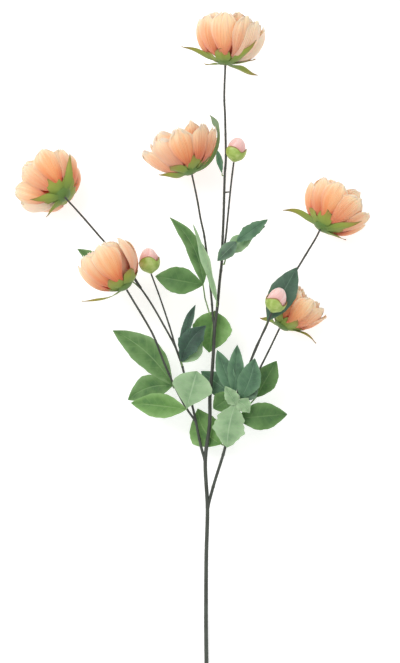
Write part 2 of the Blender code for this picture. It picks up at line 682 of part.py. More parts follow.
def leaf_lower_right():
    joint = (0.0440, 0.3370, 0.0470)
    low = (0.0690, 0.3670, 0.0430)
    return leaf("leaf_lower_right", [
        stalk([joint], ("right", 4, (1, 0, -0.2))),
        stalk([joint, (0.0540, 0.3500, 0.0425), low]),
        leaflet(joint, (0.1122, 0.3435, 0.0440), 0.039, 0.48, 0.005, 0.0, 0, 10, (5, 4)),
        leaflet(low, (0.0976, 0.4180, 0.0400), 0.032, 0.48, 0.0, 0.0, 0, 8, (5, 4)),
    ])


def leaf_lowest():
    joint = (0.0210, 0.3030, 0.0345)
    return leaf("leaf_lowest", [
        stalk([(0.0235, 0.3015, 0.0370), joint], ("right", 3, (-1, 0, -0.6))),
        leaflet(joint, (-0.0115, 0.3530, 0.0255), 0.048, 0.42, -0.001, -0.009, 9, 5, (5, 4)),
    ])


def leaf_at_fork():
    joint = (0.0118, 0.4860, 0.0470)
    return leaf("leaf_at_fork", [
        stalk([(0.0118, 0.4660, 0.0500), joint], ("main", 9, (0, 0, -1))),
        leaflet(joint, (0.0042, 0.4293, 0.0430), 0.054, 0.42, 0.0, 0.0, 0, 4, (5, 4)),
    ])


def leaf_right_bud():
    joint = (0.0845, 0.4690, 0.0790)
    return leaf("leaf_right_bud", [
        stalk([joint], ("to_far_right_bloom", 2, (0.0, 0.1, 1))),
        leaflet(joint, (0.1250, 0.5430, 0.0848), 0.038, 0.50, 0.002, 0.0, 0, -8, (5, 4)),
    ], "dark_leaf")


def bract():
    joint = (0.0222, 0.6740, 0.0785)
    return leaf("bract", [
        stalk([joint], ("to_top_bloom", 6, (-1, 0, 0.1)), 0.0007),
        leaflet(joint, (0.0166, 0.7050, 0.0800), 0.006, 0.45, 0.001, 0.0, 0, 14, (4, 2)),
    ])


def leaf_behind_left():
    joint = (-0.1060, 0.5320, 0.0350)
    return leaf("leaf_behind_left", [
        stalk([(-0.0970, 0.5250, 0.0370), joint], ("to_far_left_bloom", 3, (-0.5, 0.2, -1))),
        leaflet(joint, (-0.1787, 0.5748, 0.0340), 0.024, 0.50, 0.0, 0.0, 0, 6),
    ])


def move_to_origin():
    shift = Matrix.Translation(-Vector(ORIGIN))
    for obj in bpy.data.objects:
        obj.data.transform(shift)


def main():
    clear_scene()
    stem()
    for name, bloom in BLOOMS.items():
        petals(name, bloom)
        calyx(name, bloom)
        stamens(name, bloom)
    for name, bud in BUDS.items():
        bud_petals(name, bud)
        bud_calyx(name, bud)
    leaf_upper_left()
    leaf_slim()
    leaf_upper_right()
    leaf_inner_left()
    leaf_left()
    leaf_fan()
    leaf_inner_right()
    leaf_outer_right()
    leaf_bent()
    leaf_lower_right()
    leaf_lowest()
    leaf_at_fork()
    leaf_right_bud()
    leaf_behind_left()
    bract()
    move_to_origin()


main()
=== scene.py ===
# %% [markdown]
# A branching peony spray, laid down on a pale surface and seen from above: six open coral blooms,
# three pink buds and green compound leaves on one forked stem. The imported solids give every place
# and size. This script gives each of them its fine form and its finish, one kind of piece at a time.

import math
import random
from functools import partial

import bpy
import numpy as np
from mathutils import Matrix, Vector


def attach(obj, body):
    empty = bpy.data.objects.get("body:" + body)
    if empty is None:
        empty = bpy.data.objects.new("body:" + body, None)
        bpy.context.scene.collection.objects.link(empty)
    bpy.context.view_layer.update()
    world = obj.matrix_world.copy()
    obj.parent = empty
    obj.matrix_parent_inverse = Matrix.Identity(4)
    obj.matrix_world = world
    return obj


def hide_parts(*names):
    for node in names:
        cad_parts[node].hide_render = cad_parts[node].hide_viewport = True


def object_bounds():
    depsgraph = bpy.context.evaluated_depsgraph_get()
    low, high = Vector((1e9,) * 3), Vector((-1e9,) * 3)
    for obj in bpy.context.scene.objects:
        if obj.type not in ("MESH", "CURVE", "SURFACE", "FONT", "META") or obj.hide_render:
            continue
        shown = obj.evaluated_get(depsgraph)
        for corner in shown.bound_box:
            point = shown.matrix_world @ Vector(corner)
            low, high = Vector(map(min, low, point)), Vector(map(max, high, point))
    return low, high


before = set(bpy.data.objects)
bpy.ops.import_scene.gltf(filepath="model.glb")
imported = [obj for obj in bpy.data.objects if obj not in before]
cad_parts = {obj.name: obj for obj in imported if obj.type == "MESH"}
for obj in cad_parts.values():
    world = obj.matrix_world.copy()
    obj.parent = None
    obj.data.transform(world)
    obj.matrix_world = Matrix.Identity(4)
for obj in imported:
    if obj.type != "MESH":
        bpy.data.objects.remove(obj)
cad_low, cad_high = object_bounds()
print("solids from", [round(c, 4) for c in cad_low], "to", [round(c, 4) for c in cad_high])

# %% [markdown]
# The spray was laid out from the cut end of its stem, which is the easiest point to measure from.
# The frame's origin is the middle of the spray's box instead, so one shift leads from one to the
# other, and every mesh below gets it once, when it is finished.

# %% Places
SPRAY_ORIGIN = Vector((-0.0189, 0.4472, 0.0))
TO_FRAME = Matrix.Translation(-SPRAY_ORIGIN)
GAP = 0.0003                 # clear space between two pieces that meet


def metres(points):
    """Points measured in millimetres, in metres."""
    return [Vector([c / 1000 for c in point]) for point in points]


# Each route of the stem: its radius at the first and last point, and its points
ROUTES_IN_MM = {
    "main": (2.9, 2.3, [(0.7, 0, 2.9), (0, 62, 8), (0.4, 148, 16.8), (2, 215, 24.5), (-1, 280, 33),
        (5, 330, 39), (5.5, 370, 43.5), (8.6, 404, 47.5), (10.4, 432, 51), (11.8, 464, 54.5)]),
    "to_top_bloom": (2.1, 1.4, [(11.8, 464, 54.5), (15.7, 492, 58), (19, 528, 62), (21.5, 550, 64.5),
        (22.7, 579, 68), (24.4, 620, 72.5), (25.8, 671, 78), (27.4, 697, 81), (26.3, 752, 87),
        (25.2, 780, 90), (26.6, 822.5, 93)]),
    "to_centre_bloom": (1.6, 1.3, [(11.8, 464, 54.5), (9.2, 479, 56.2), (7.5, 503, 58.5),
        (-1, 580, 64.5), (-7.6, 613, 67.2), (-12.5, 641, 69.5), (-19.4, 673.5, 72)]),
    "to_top_bud": (1.4, 1.2, [(21.5, 550, 64.5), (27, 584.5, 72.5), (30.7, 620.5, 80), (34.6, 658.6, 87),
        (38.2, 688, 92)]),
    "left": (2.1, 1.8, [(-1, 280, 33), (-7, 300, 34.5), (-14, 334, 37)]),
    "to_left_pair": (1.7, 1.6, [(-14, 334, 37), (-19, 356, 37.8), (-27, 385, 39), (-33, 411, 40.3),
        (-42.5, 438, 41.5)]),
    "to_far_left_bloom": (1.4, 1.3, [(-42.5, 438, 41.5), (-55, 461, 42), (-75, 496, 42.5),
        (-92, 521.5, 39.5), (-119, 559.5, 37), (-143, 586, 43), (-170, 615.5, 60), (-195, 642, 71.9)]),
    "to_left_bud": (1.3, 1.1, [(-42.5, 438, 41.5), (-49, 461, 44), (-63, 503, 49), (-76, 538, 52)]),
    "to_left_bloom": (1.6, 1.4, [(-14, 334, 37), (-27, 352, 43), (-42.5, 380, 50), (-58, 414, 60),
        (-74, 453, 71), (-101, 498, 86), (-109, 511, 90.5)]),
    "right": (2.2, 1.7, [(2, 215, 24.5), (11, 248, 31), (21.5, 281, 37), (27, 300.5, 41), (35, 337, 48),
        (42, 367, 55), (52, 393, 62), (59, 409, 66.5)]),
    "to_right_bud": (1.4, 1.3, [(59, 409, 66.5), (69, 434, 76.5), (82, 459, 87), (90, 479, 96)]),
    "to_far_right_bloom": (1.5, 1.3, [(59, 409, 66.5), (66, 425, 69.5), (83, 464, 73.5),
        (102.5, 503, 75.5), (124.5, 540, 75.5), (140.1, 566, 73), (151, 584.5, 68.5), (157.5, 597.5, 65)]),
    "to_right_bloom": (1.5, 1.3, [(42, 367, 55), (55, 382, 50), (69, 397.5, 48), (77, 412, 48),
        (89, 436, 48.2), (101.5, 462, 49)]),
}
STEM_ROUTES = {name: (first / 1000, last / 1000, metres(points))
               for name, (first, last, points) in ROUTES_IN_MM.items()}

# %% [markdown]
# Two things need nodes here: materials, and the trees that grow repeated pieces. Both are built in
# the script, so one helper serves them all. It adds a node, gives it its settings, and feeds each
# input either a value, a colour or another node's output.

# %% Helpers for nodes and colours
NODE_FAMILIES = ("ShaderNode", "GeometryNode", "FunctionNode", "Node")
BLEND = dict(out=2, data_type="RGBA")         # what makes a Mix node blend two colours
SHARP_ANGLE = math.radians(60)                # faces that meet at more than this keep a sharp edge


def linear(code):
    """The linear colour of an sRGB hex code such as #8AA83C."""
    parts = [int(code[i:i + 2], 16) / 255 for i in (1, 3, 5)]
    return [c / 12.92 if c <= 0.04045 else ((c + 0.055) / 1.055) ** 2.4 for c in parts] + [1.0]


def add(tree, kind, *given, out=0, **settings):
    """Add a node and return one of its outputs. A kind in capitals is an operation of the Math node.
    Inputs are given in order or by name: outputs are linked, and values and hex colours are set."""
    if kind.isupper():
        kind, settings["operation"] = "Math", kind
    family = next(family for family in NODE_FAMILIES if hasattr(bpy.types, family + kind))
    node = tree.nodes.new(family + kind)
    stops = settings.pop("stops", ())
    for name, value in settings.items():
        setattr(node, name, value)
    for place, _ in stops[1:-1]:
        node.color_ramp.elements.new(place)
    for k, (place, code) in enumerate(stops):
        node.color_ramp.elements[k].position = place
        node.color_ramp.elements[k].color = linear(code)
    for key, value in (given[0].items() if given and isinstance(given[0], dict) else enumerate(given)):
        sources = value if isinstance(value, list) else [value]
        if isinstance(sources[0], bpy.types.NodeSocket):
            for source in sources:
                tree.links.new(source, node.inputs[key])
        else:
            node.inputs[key].default_value = linear(value) if str(value).startswith("#") else value
    return node.outputs[out] if len(node.outputs) else None


def new_material(name, *labels):
    """An empty material, the function that adds its nodes, and a field for each attribute it reads."""
    mat = bpy.data.materials.new(name)
    mat.use_nodes = True
    mat.node_tree.nodes.clear()
    node = partial(add, mat.node_tree)
    return [mat, node] + [node("Attribute", out="Fac", attribute_name=label) for label in labels]


def close_material(node, colour, roughness, relief=(), more=()):
    """End a material: its colour and roughness, its relief (height, strength and depth), and more."""
    settings = {"Base Color": colour, "Roughness": roughness} | dict(more)
    if relief:
        settings["Normal"] = node("Bump", dict(zip(("Height", "Strength", "Distance"), relief)))
    node("OutputMaterial", node("BsdfPrincipled", settings))


def new_growth(name, inputs):
    """A Geometry Nodes tree, the function that adds its nodes, and its named inputs."""
    tree = bpy.data.node_groups.new(name, "GeometryNodeTree")
    inputs = {"Geometry": "Geometry"} | inputs
    for title, kind in inputs.items():
        tree.interface.new_socket(title, in_out="INPUT", socket_type="NodeSocket" + kind)
    tree.interface.new_socket("Geometry", in_out="OUTPUT", socket_type="NodeSocketGeometry")
    fields = tree.nodes.new("NodeGroupInput").outputs
    return tree, partial(add, tree), {title: fields[title] for title in inputs}


def close_growth(node, geometry, material):
    """End a tree: real copies instead of instances, and their material."""
    real = node("RealizeInstances", geometry)
    node("GroupOutput", node("SetMaterial", {"Geometry": real, "Material": material}))


def new_object(name, data):
    """An object in the scene."""
    obj = bpy.data.objects.new(name, data)
    bpy.context.scene.collection.objects.link(obj)
    return obj


def new_mesh(name, places, edges, faces, fields=(), mat=None):
    """A mesh with a number at each point for every named field, and its material."""
    mesh = bpy.data.meshes.new(name)
    mesh.from_pydata(places, edges, faces)
    for label, values in dict(fields).items():
        layer = mesh.attributes.new(label, "FLOAT", "POINT")
        layer.data.foreach_set("value", np.array(values, dtype=np.float32))
    if mat:
        mesh.materials.append(mat)
    return mesh


def plain_mesh(obj):
    """The mesh that an object's modifiers make. The object itself goes."""
    graph = bpy.context.evaluated_depsgraph_get()
    mesh = bpy.data.meshes.new_from_object(obj.evaluated_get(graph))
    obj.modifiers.clear()
    bpy.data.objects.remove(obj)
    return mesh


def grow(name, seedling, tree, values):
    """Run a tree on a mesh, and return the plain mesh that it makes."""
    obj = new_object(name, seedling)
    modifier = obj.modifiers.new("growth", "NODES")
    modifier.node_group = tree
    for item in tree.interface.items_tree:
        if item.in_out == "INPUT" and item.name in values:
            modifier[item.identifier] = values[item.name]
    return plain_mesh(obj)


def finished(name, mesh, node):
    """Put a mesh in the scene as the piece that stands for a solid."""
    mesh.transform(TO_FRAME)
    mesh.shade_smooth()
    mesh.set_sharp_from_angle(angle=SHARP_ANGLE)
    piece = new_object(name, mesh)
    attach(piece, "root")
    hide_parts(node)


# %% [markdown]
# The camera comes early, so that every later step can be judged in the right view. The spray rises
# a little from its cut end to its blooms, so a camera 6 degrees off the vertical looks at it
# squarely. It stands far off with a long lens, which keeps near and far pieces at one scale.

# %% Camera
MM_PER_PIXEL = 1.385
FRAME_PIXELS = (400, 663)
CAMERA_ELEVATION = math.radians(84)
CAMERA_DISTANCE = 6.0
VIEW_CENTRE = Vector((-0.0083, 0.4592, 0.0364))   # in spray coordinates

view_length = FRAME_PIXELS[1] * MM_PER_PIXEL / 1000
back = Vector((0, -math.cos(CAMERA_ELEVATION), math.sin(CAMERA_ELEVATION)))
camera_data = bpy.data.cameras.new("camera")
camera_data.angle = 2 * math.atan(view_length / 2 / CAMERA_DISTANCE)
camera_data.clip_end = 50
camera = new_object("camera", camera_data)
camera.location = TO_FRAME @ VIEW_CENTRE + back * CAMERA_DISTANCE
camera.rotation_euler = (math.pi / 2 - CAMERA_ELEVATION, 0, 0)
bpy.context.scene.camera = camera
print("the view is", round(view_length, 3), "m long")

# %% [markdown]
# The light is that of a plain studio: a white dome all round, and one large soft lamp from the
# upper left, which models the petals a little. The floor is a pale matt board. The view transform is
# the plain one, so that the hex colours below come out as they are written.

# %% Floor and light
FLOOR_SIZE = 6.0
LAMP_SIZE = 1.6
LAMP_POWER = 34
LAMP_PLACE = Vector((-1.3, 1.1, 2.2))
DOME_STRENGTH = 0.85

bpy.context.scene.view_settings.view_transform = "Standard"
world = bpy.data.worlds.new("studio")
world.use_nodes = True
world.node_tree.nodes["Background"].inputs["Color"].default_value = linear("#FFFFFF")
world.node_tree.nodes["Background"].inputs["Strength"].default_value = DOME_STRENGTH
bpy.context.scene.world = world

lamp_data = bpy.data.lights.new("softbox", "AREA")
lamp_data.size = LAMP_SIZE
lamp_data.energy = LAMP_POWER
lamp = new_object("softbox", lamp_data)
lamp.location = LAMP_PLACE
lamp.rotation_euler = (-LAMP_PLACE).to_track_quat("-Z", "Y").to_euler()

floor_mat, node = new_material("matt_white_board")
close_material(node, "#DCDCDB", 0.9, more={"Emission Color": "#FFFFFF", "Emission Strength": 0.50})
half = FLOOR_SIZE / 2
corners = [(-half, -half, 0), (half, -half, 0), (half, half, 0), (-half, half, 0)]
floor = new_object("floor", new_mesh("floor", corners, [], [(0, 1, 2, 3)], mat=floor_mat))
floor.location.z = cad_low[2] - 0.0002        # a hair below the lowest point

# %% [markdown]
# The stem is a wire in a moulded skin: dark grey-green, a little glossy, with fine ridges along it
# and a soft swelling at each fork. Modelling it by hand would mean dozens of joints. A tree that
# turns every route into a tube keeps them all alike, and one attribute carries the thickness.

# %% Stem finish


def moulded_stem():
    """Soft polyethylene over wire: a dull shine that breaks up over fine ridges, about 1 mm apart
    and eight times as long, and over darker patches about 20 mm long."""
    mat, node = new_material("moulded_polyethylene_stem")
    coords = node("TexCoord", out="Object")
    ridges = node("Mapping", {0: coords, 3: (1.0, 0.12, 1.0)})
    bark = node("TexNoise", {"Vector": ridges, "Scale": 900.0, "Detail": 3.0})
    patches = node("TexNoise", {"Vector": coords, "Scale": 45.0, "Detail": 2.0})
    rise = node("MapRange", node("SeparateXYZ", coords, out="Y"), -0.45, 0.10)
    body = node("Mix", {0: rise, 6: "#454D44", 7: "#3C3E37"}, **BLEND)
    dark = node("Mix", {0: 0.55, 6: body, 7: "#26271F"}, **BLEND)
    colour = node("Mix", {0: node("MapRange", patches, 0.42, 0.68), 6: body, 7: dark}, **BLEND)
    rough = node("MapRange", {0: bark, 3: 0.38, 4: 0.62})
    close_material(node, colour, rough, (bark, 0.5, 0.0002))
    return mat


# %% Stem routes as thick lines
ROUTE_SPACING = 0.0016
SWELLING = 0.28              # how much thicker the stem is at a fork
SWELLING_REACH = 0.0045
KNOT_SPACING = 0.047         # between the low rings where leaves once sat
FIRST_KNOT = 0.031
KNOT_HEIGHT = 0.15
KNOT_REACH = 0.0016


def route_line(first_radius, last_radius, points):
    """Smooth points along a route, with a radius for each, thicker where it leaves a fork."""
    knots = [points[0] * 2 - points[1]] + points + [points[-1] * 2 - points[-2]]
    line, shares = [], []
    last = len(points) - 1
    for i in range(last):
        a, b, c, d = knots[i:i + 4]
        steps = max(2, round((c - b).length / ROUTE_SPACING))
        for k in range(steps + (i == last - 1)):
            t = k / steps
            bend = b * 2 + (c - a) * t + (a * 2 - b * 5 + c * 4 - d) * t * t
            line.append((bend + (b * 3 - a - c * 3 + d) * t ** 3) / 2)
            shares.append((i + t) / last)
    gone = 0.0
    radii = []
    for k, share in enumerate(shares):
        gone += (line[k] - line[k - 1]).length if k else 0.0
        thick = 1 + SWELLING * math.exp(-(gone / SWELLING_REACH) ** 2)
        thick += KNOT_HEIGHT * math.exp(-((gone % KNOT_SPACING - FIRST_KNOT) / KNOT_REACH) ** 2)
        radius = first_radius + (last_radius - first_radius) * share
        radii.append(radius * (thick if points[0].y else 1))      # the cut end at y = 0 has no fork
    return line, radii


def thick_lines(name, lines):
    """One mesh of edges for a tree to turn into tubes: lines are (points, radii)."""
    places, edges, radii = [], [], []
    for line, line_radii in lines:
        start = len(places)
        places += [tuple(p) for p in line]
        radii += line_radii
        edges += [(start + k, start + k + 1) for k in range(len(line) - 1)]
    return new_mesh(name, places, edges, [], {"thickness": radii})


# %% Tubes along lines


def tube_growth():
    """Lines to round tubes, with low ridges on their skin."""
    tree, node, given = new_growth("tubes", {
        "Sides": "Int", "Skin relief": "Float", "Relief size": "Float", "Finish": "Material"})
    thickness = node("InputNamedAttribute", {"Name": "thickness"}, data_type="FLOAT")
    curve = node("MeshToCurve", {"Mesh": given["Geometry"]})
    curve = node("SetCurveRadius", {"Curve": curve, "Radius": thickness})
    ring = node("CurvePrimitiveCircle", {"Resolution": given["Sides"], "Radius": 1.0})
    tube = node("CurveToMesh", {
        "Curve": curve, "Profile Curve": ring, "Scale": thickness, "Fill Caps": True})
    bark = node("TexNoise", {"Scale": given["Relief size"], "Detail": 2.0})
    lift = node("MULTIPLY", node("SUBTRACT", bark, 0.5), given["Skin relief"])
    offset = node("VectorMath", {0: node("InputNormal"), 3: lift}, operation="SCALE")
    tube = node("SetPosition", {"Geometry": tube, "Offset": offset})
    close_growth(node, tube, given["Finish"])
    return tree


TUBES = tube_growth()
# A peg that ties the top bud's stem to the top bloom's, and a stub where a twig was cut off
STEM_STUBS = [
    (0.0011, 0.0010, metres([(25.2, 648, 75.5), (29, 647.8, 80.5), (33.5, 647.5, 85)])),
    (0.0016, 0.0011, metres([(-90.5, 519.5, 39.8), (-95, 527, 42.5), (-98.5, 533, 45)]))]
stem_lines = [route_line(*route) for route in list(STEM_ROUTES.values()) + STEM_STUBS]
stem_mesh = grow("stem_skin", thick_lines("stem_lines", stem_lines), TUBES, {
    "Sides": 14, "Skin relief": 0.0005, "Relief size": 420.0, "Finish": moulded_stem()})
finished("stem_moulded", stem_mesh, "stem")
print("stem:", len(STEM_ROUTES), "routes,", len(stem_mesh.polygons), "faces")

# %% [markdown]
# A peony's petal is a broad, cupped sheet: narrow where it joins the flower, wide and rounded at its
# end, with a slightly ragged rim. The real ones here are cut from thin pleated cloth, dyed from deep
# coral at the root to cream at the rim. All petals follow one rule, so one tree shapes them all: it
# puts a flat grid at each petal's point and bends it by that petal's own angles and sizes.

# %% Blooms
# Each bloom's heading and dip, its petals' length, the inner rings' share of it, their width, their
# angle at root and tip, the side they lean to and how far, where the first petal and the first sepal
# sit round the stem, and a seed
BLOOM_COLUMNS = ("heading", "dip", "length", "inner", "width", "root_angle", "tip_angle", "lean_to", "lean",
                 "phase", "sepal_phase", "seed")
BLOOM_ROWS = {
    "top_bloom": (4, 5, 0.078, 0.93, 0.041, 84, -16, 0, 6, 97, 105, 11),
    "centre_bloom": (-20, 10, 0.070, 1.00, 0.042, 86, 8, 0, 2, 90, 72, 12),
    "far_left_bloom": (-38, 40, 0.067, 0.98, 0.044, 80, 8, 180, 6, 75, 95, 13),
    "left_bloom": (-30, 6, 0.076, 0.93, 0.043, 80, -24, 180, 4, 100, 50, 14),
    "far_right_bloom": (34, 20, 0.069, 0.98, 0.042, 82, 0, 0, 2, 100, 100, 15),
    "right_bloom": (37, 5, 0.064, 0.95, 0.036, 75, -6, 0, 2, 70, 62, 16),
}
BLOOMS = {name: dict(zip(BLOOM_COLUMNS, row)) for name, row in BLOOM_ROWS.items()}
# What sets two of them apart: a rim cut finer and a deeper dye, and a missing outer petal. The inner
# petals that its gap shows get no painted shade and are painted paler, as painted light
BLOOMS["centre_bloom"].update(rim_cut=0.65, rim_points=8.0, deeper=0.28)
BLOOMS["left_bloom"].update(missing=8, gap_depth=0.0, gap_cream=0.35)
# Outer petals that the photo shows turned, bent, widened or paler than the rule makes them
SHOWN_PETALS = {
    ("top_bloom", 7): dict(azimuth=14, root_angle=8, tip_angle=-10, length=0.002, broad=1.25, claw=1.1,
                           cream=0.5),
    ("top_bloom", 6): dict(azimuth=12, root_angle=11, tip_angle=-8, length=0.006, broad=1.40, claw=0.8,
                           cream=0.75),
    ("far_left_bloom", 3): dict(cream=0.75),
    ("far_left_bloom", 5): dict(tip_angle=-10.5),
    ("left_bloom", 7): dict(azimuth=-3, root_angle=4, tip_angle=-12, claw=1.5, cream=0.2),
    ("far_right_bloom", 4): dict(tip_angle=-2.5),
}
# Rings of petals from the outside in: how much less they rise at root and tip than the outer ring,
# their root's radius and height, how narrow their claw is, and a 1 for each petal that lies outside
# its neighbours
PETAL_RINGS = [
    (0, 0, 0.005, 0.0060, 2.6, (1, 0, 1, 0, 1, 0, 1, 0, 0)),
    (10, 14, 0.005, 0.0095, 1.3, (1, 0, 1, 0, 0)),
    (24, 20, 0.003, 0.0130, 1.0, (0, 0, 0)),
]
OUTSIDE_STEP = 0.0014
PETAL_TWIST = 5.0
PETAL_THICKNESS = 0.00045
BLOOM_CORE_RADIUS = 0.0085
BLOOM_CORE_HEIGHT = 0.0135
BLOOM_CORE_FOOT = 0.0032


def place_on_stem(mesh, name, flower):
    """Move a bloom's or bud's mesh to its foot just clear of its stem's end, and turn it. The axes
    used are left-handed, which turns a mesh inside out, so its faces are turned back to look outwards."""
    heading, dip = math.radians(flower["heading"]), math.radians(flower["dip"])
    axis = Vector((math.sin(heading) * math.cos(dip), math.cos(heading) * math.cos(dip), -math.sin(dip)))
    side = Vector((math.cos(heading), -math.sin(heading), 0.0))
    _, last_radius, points = STEM_ROUTES["to_" + name]
    kink = (points[-1] - points[-2]).angle(axis)
    foot = points[-1] + axis * (GAP + last_radius * math.sin(kink))
    mesh.transform(Matrix.Translation(foot) @ Matrix((side, side.cross(axis), axis)).transposed().to_4x4())
    mesh.flip_normals()


# %% Petal growth
PETAL_WIDEST = 0.70          # where along its length a petal is widest
CUP_AT_ROOT = 0.014          # the radius of a petal's arc across, at its root
CUP_OPENING = 0.016          # how much larger that radius is at the tip


def petal_growth():
    """Flat grids, one at each petal's point, bent into cupped petals round the Z axis."""
    tree, node, given = new_growth("petals", {
        "Rows": "Int", "Columns": "Int", "Twist": "Float", "Pleats": "Float", "Pleat depth": "Float",
        "Rim wave": "Float", "Rim cut": "Float", "Rim points": "Float", "Finish": "Material"})
    sheet = node("MeshGrid", {
        "Size X": 1.0, "Size Y": 2.0, "Vertices X": given["Rows"], "Vertices Y": given["Columns"]})
    flat = node("InputPosition")
    along = node("ADD", node("SeparateXYZ", flat), 0.5)
    for label, field in (("along", along), ("across", node("SeparateXYZ", flat, out="Y"))):
        sheet = node("StoreNamedAttribute", {"Geometry": sheet, "Name": label, "Value": field},
                     data_type="FLOAT", domain="POINT")
    copies = node("InstanceOnPoints", {"Points": given["Geometry"], "Instance": sheet})
    petals = node("RealizeInstances", copies)
    u, v, azimuth, root_angle, tip_angle, length, half_width, root_radius, root_height, petal, narrow = [
        node("InputNamedAttribute", {"Name": label}, data_type="FLOAT") for label in (
            "along", "across", "azimuth", "root_angle", "tip_angle", "length", "half_width",
            "root_radius", "root_height", "petal", "claw")]
    u_squared = node("MULTIPLY", u, u)

    # The rim: rounded at its corners, and cut into small uneven points
    corner = node("MULTIPLY", node("MULTIPLY", v, v), u_squared)
    share = node("MULTIPLY", u, node("MULTIPLY_ADD", corner, -0.055, 1.0))
    seat = node("CombineXYZ", v, petal, 0.0)
    ragged = node("TexNoise", {
        "Vector": seat, "Scale": given["Rim points"], "Detail": 3.0, "Roughness": 0.75})
    ragged = node("MULTIPLY", node("SUBTRACT", ragged, 0.5), node("POWER", u, 7.0))
    share = node("MULTIPLY_ADD", ragged, given["Rim cut"], share)

    # The width: a narrow claw, widest at two thirds, and a round end
    claw = node("MINIMUM", node("MULTIPLY", u, 1 / PETAL_WIDEST), 1.0)
    claw = node("SINE", node("MULTIPLY", claw, math.pi / 2))
    claw = node("MULTIPLY_ADD", node("POWER", claw, narrow), 0.88, 0.12)
    end = node("POWER", node("MapRange", u, PETAL_WIDEST, 1.0), 3.3)
    end = node("MULTIPLY_ADD", end, -0.62, 1.0)
    width = node("MULTIPLY", node("MULTIPLY", claw, end), half_width)

    # The cup: each row is an arc across, flatter towards the end
    cup = node("MULTIPLY_ADD", u, CUP_OPENING, CUP_AT_ROOT)
    bend = node("DIVIDE", node("MULTIPLY", v, width), cup)
    lateral = node("MULTIPLY", cup, node("SINE", bend))
    sunk = node("MULTIPLY", cup, node("SUBTRACT", node("COSINE", bend), 1.0))

    # Pleats and waves: small lifts away from the flower's axis
    pleat = node("SINE", node("MULTIPLY", v, given["Pleats"]))
    pleat = node("MULTIPLY", node("MULTIPLY", pleat, given["Pleat depth"]), u)
    wave = node("TexNoise", {"Vector": node("CombineXYZ", v, u, petal), "Scale": 1.6, "Detail": 1.0})
    wave = node("MULTIPLY", node("SUBTRACT", wave, 0.5), u_squared)
    wave = node("MULTIPLY_ADD", wave, given["Rim wave"], pleat)

    # The twist: one edge lies over the next petal
    twist = node("RADIANS", given["Twist"])
    away = node("ADD", node("MULTIPLY_ADD", lateral, node("SINE", twist), sunk), wave)
    sideways = node("MULTIPLY", lateral, node("COSINE", twist))

    # The middle line: it bends evenly from the root's angle to the tip's
    begin = node("RADIANS", root_angle)
    turn = node("RADIANS", node("SUBTRACT", tip_angle, root_angle))
    angle = node("MULTIPLY_ADD", turn, share, begin)
    rate = node("DIVIDE", length, turn)
    cosine = node("COSINE", angle)
    sine = node("SINE", angle)
    outward = node("SUBTRACT", node("COSINE", begin), cosine)
    outward = node("MULTIPLY_ADD", outward, rate, root_radius)
    outward = node("MULTIPLY_ADD", away, cosine, outward)
    upward = node("SUBTRACT", sine, node("SINE", begin))
    upward = node("MULTIPLY_ADD", upward, rate, root_height)
    upward = node("SUBTRACT", upward, node("MULTIPLY", away, sine))

    # Round the axis to the petal's own azimuth
    place = node("CombineXYZ", outward, sideways, upward)
    turn_to = node("RADIANS", azimuth)
    place = node("VectorRotate", {"Vector": place, "Angle": turn_to}, rotation_type="Z_AXIS")
    petals = node("SetPosition", {"Geometry": petals, "Position": place})
    close_growth(node, petals, given["Finish"])
    return tree


PETALS = petal_growth()

# %% Petal finish


def pleated_voile():
    """Polyester voile, heat-pleated and dip-dyed: the pleats' light and shade is painted into the colour as
    fine streaks from root to rim, over a relief, and the thin cloth glows a little where light comes
    through."""
    mat, node, u, v, petal, depth, cream = new_material(
        "dip_dyed_voile_painted_light_and_shade", "along", "across", "petal", "depth", "cream")
    spot = node("CombineXYZ", v, u, petal)

    # Painted light and shade of the cloth's pleats as streaks, drawn about 2.5 mm apart, twice the real
    # spacing, so that they show, and soft clouds where the dye took unevenly
    lengthways = node("Mapping", {0: spot, 3: (1.0, 0.07, 1.0)})
    streak = node("TexNoise", {"Vector": lengthways, "Scale": 10.0, "Detail": 4.0, "Roughness": 0.7})
    cloud = node("TexNoise", {"Vector": spot, "Scale": 2.0, "Detail": 2.0})
    shift = node("MULTIPLY_ADD", node("SUBTRACT", streak, 0.5), 0.62, u)
    shift = node("MULTIPLY_ADD", node("SUBTRACT", cloud, 0.5), 0.45, shift)
    dye = node("ValToRGB", shift, stops=[
        (0.0, "#DC4A1A"), (0.20, "#F07238"), (0.45, "#FA9C62"), (0.72, "#FBB786"), (0.94, "#FCD2A8")])

    # Painted shade, with some of the cloth's deeper dye: deep red-orange at both sides of each petal near
    # the root, where it lies against the next, and over the inner rings and the outer petals tucked under
    # others
    span = node("ABSOLUTE", v)
    fold = node("MULTIPLY", node("POWER", span, 2.2), node("MapRange", u, 0.20, 0.85, 1.0, 0.0))
    inner = node("MULTIPLY", node("MapRange", u, 0.30, 0.90, 1.0, 0.10), depth)
    fold = node("MULTIPLY", node("MAXIMUM", fold, inner), 0.9)
    dye = node("Mix", {0: fold, 6: dye, 7: "#D04218"}, **BLEND)

    # The rim fades to cream, on the sides as well as at the end
    side_rim = node("MULTIPLY", node("POWER", span, 7.0), u)
    rim = node("MAXIMUM", side_rim, node("POWER", u, 14.0))
    rim = node("MULTIPLY", node("MULTIPLY", rim, u), 0.75)
    dye = node("Mix", {0: rim, 6: dye, 7: "#FAE6D0"}, **BLEND)

    # Each petal was dyed a little differently, some are set paler one by one, and the inner petals behind a
    # bloom's gap are painted paler, as painted light
    lot = node("TexWhiteNoise", {"W": petal}, noise_dimensions="1D")
    paler = node("MAXIMUM", node("MapRange", lot, 0.45, 1.0, 0.0, 0.35), cream)
    dye = node("Mix", {0: paler, 6: dye, 7: "#FAE0C6"}, **BLEND)

    relief = node("MULTIPLY_ADD", streak, 1.2, node("SINE", node("MULTIPLY", v, 60.0)))
    close_material(node, dye, 0.72, (relief, 0.6, 0.0003), {
        "Sheen Weight": 0.25, "Subsurface Weight": 0.35, "Subsurface Radius": (1.0, 0.45, 0.25),
        "Subsurface Scale": 0.003})
    return mat


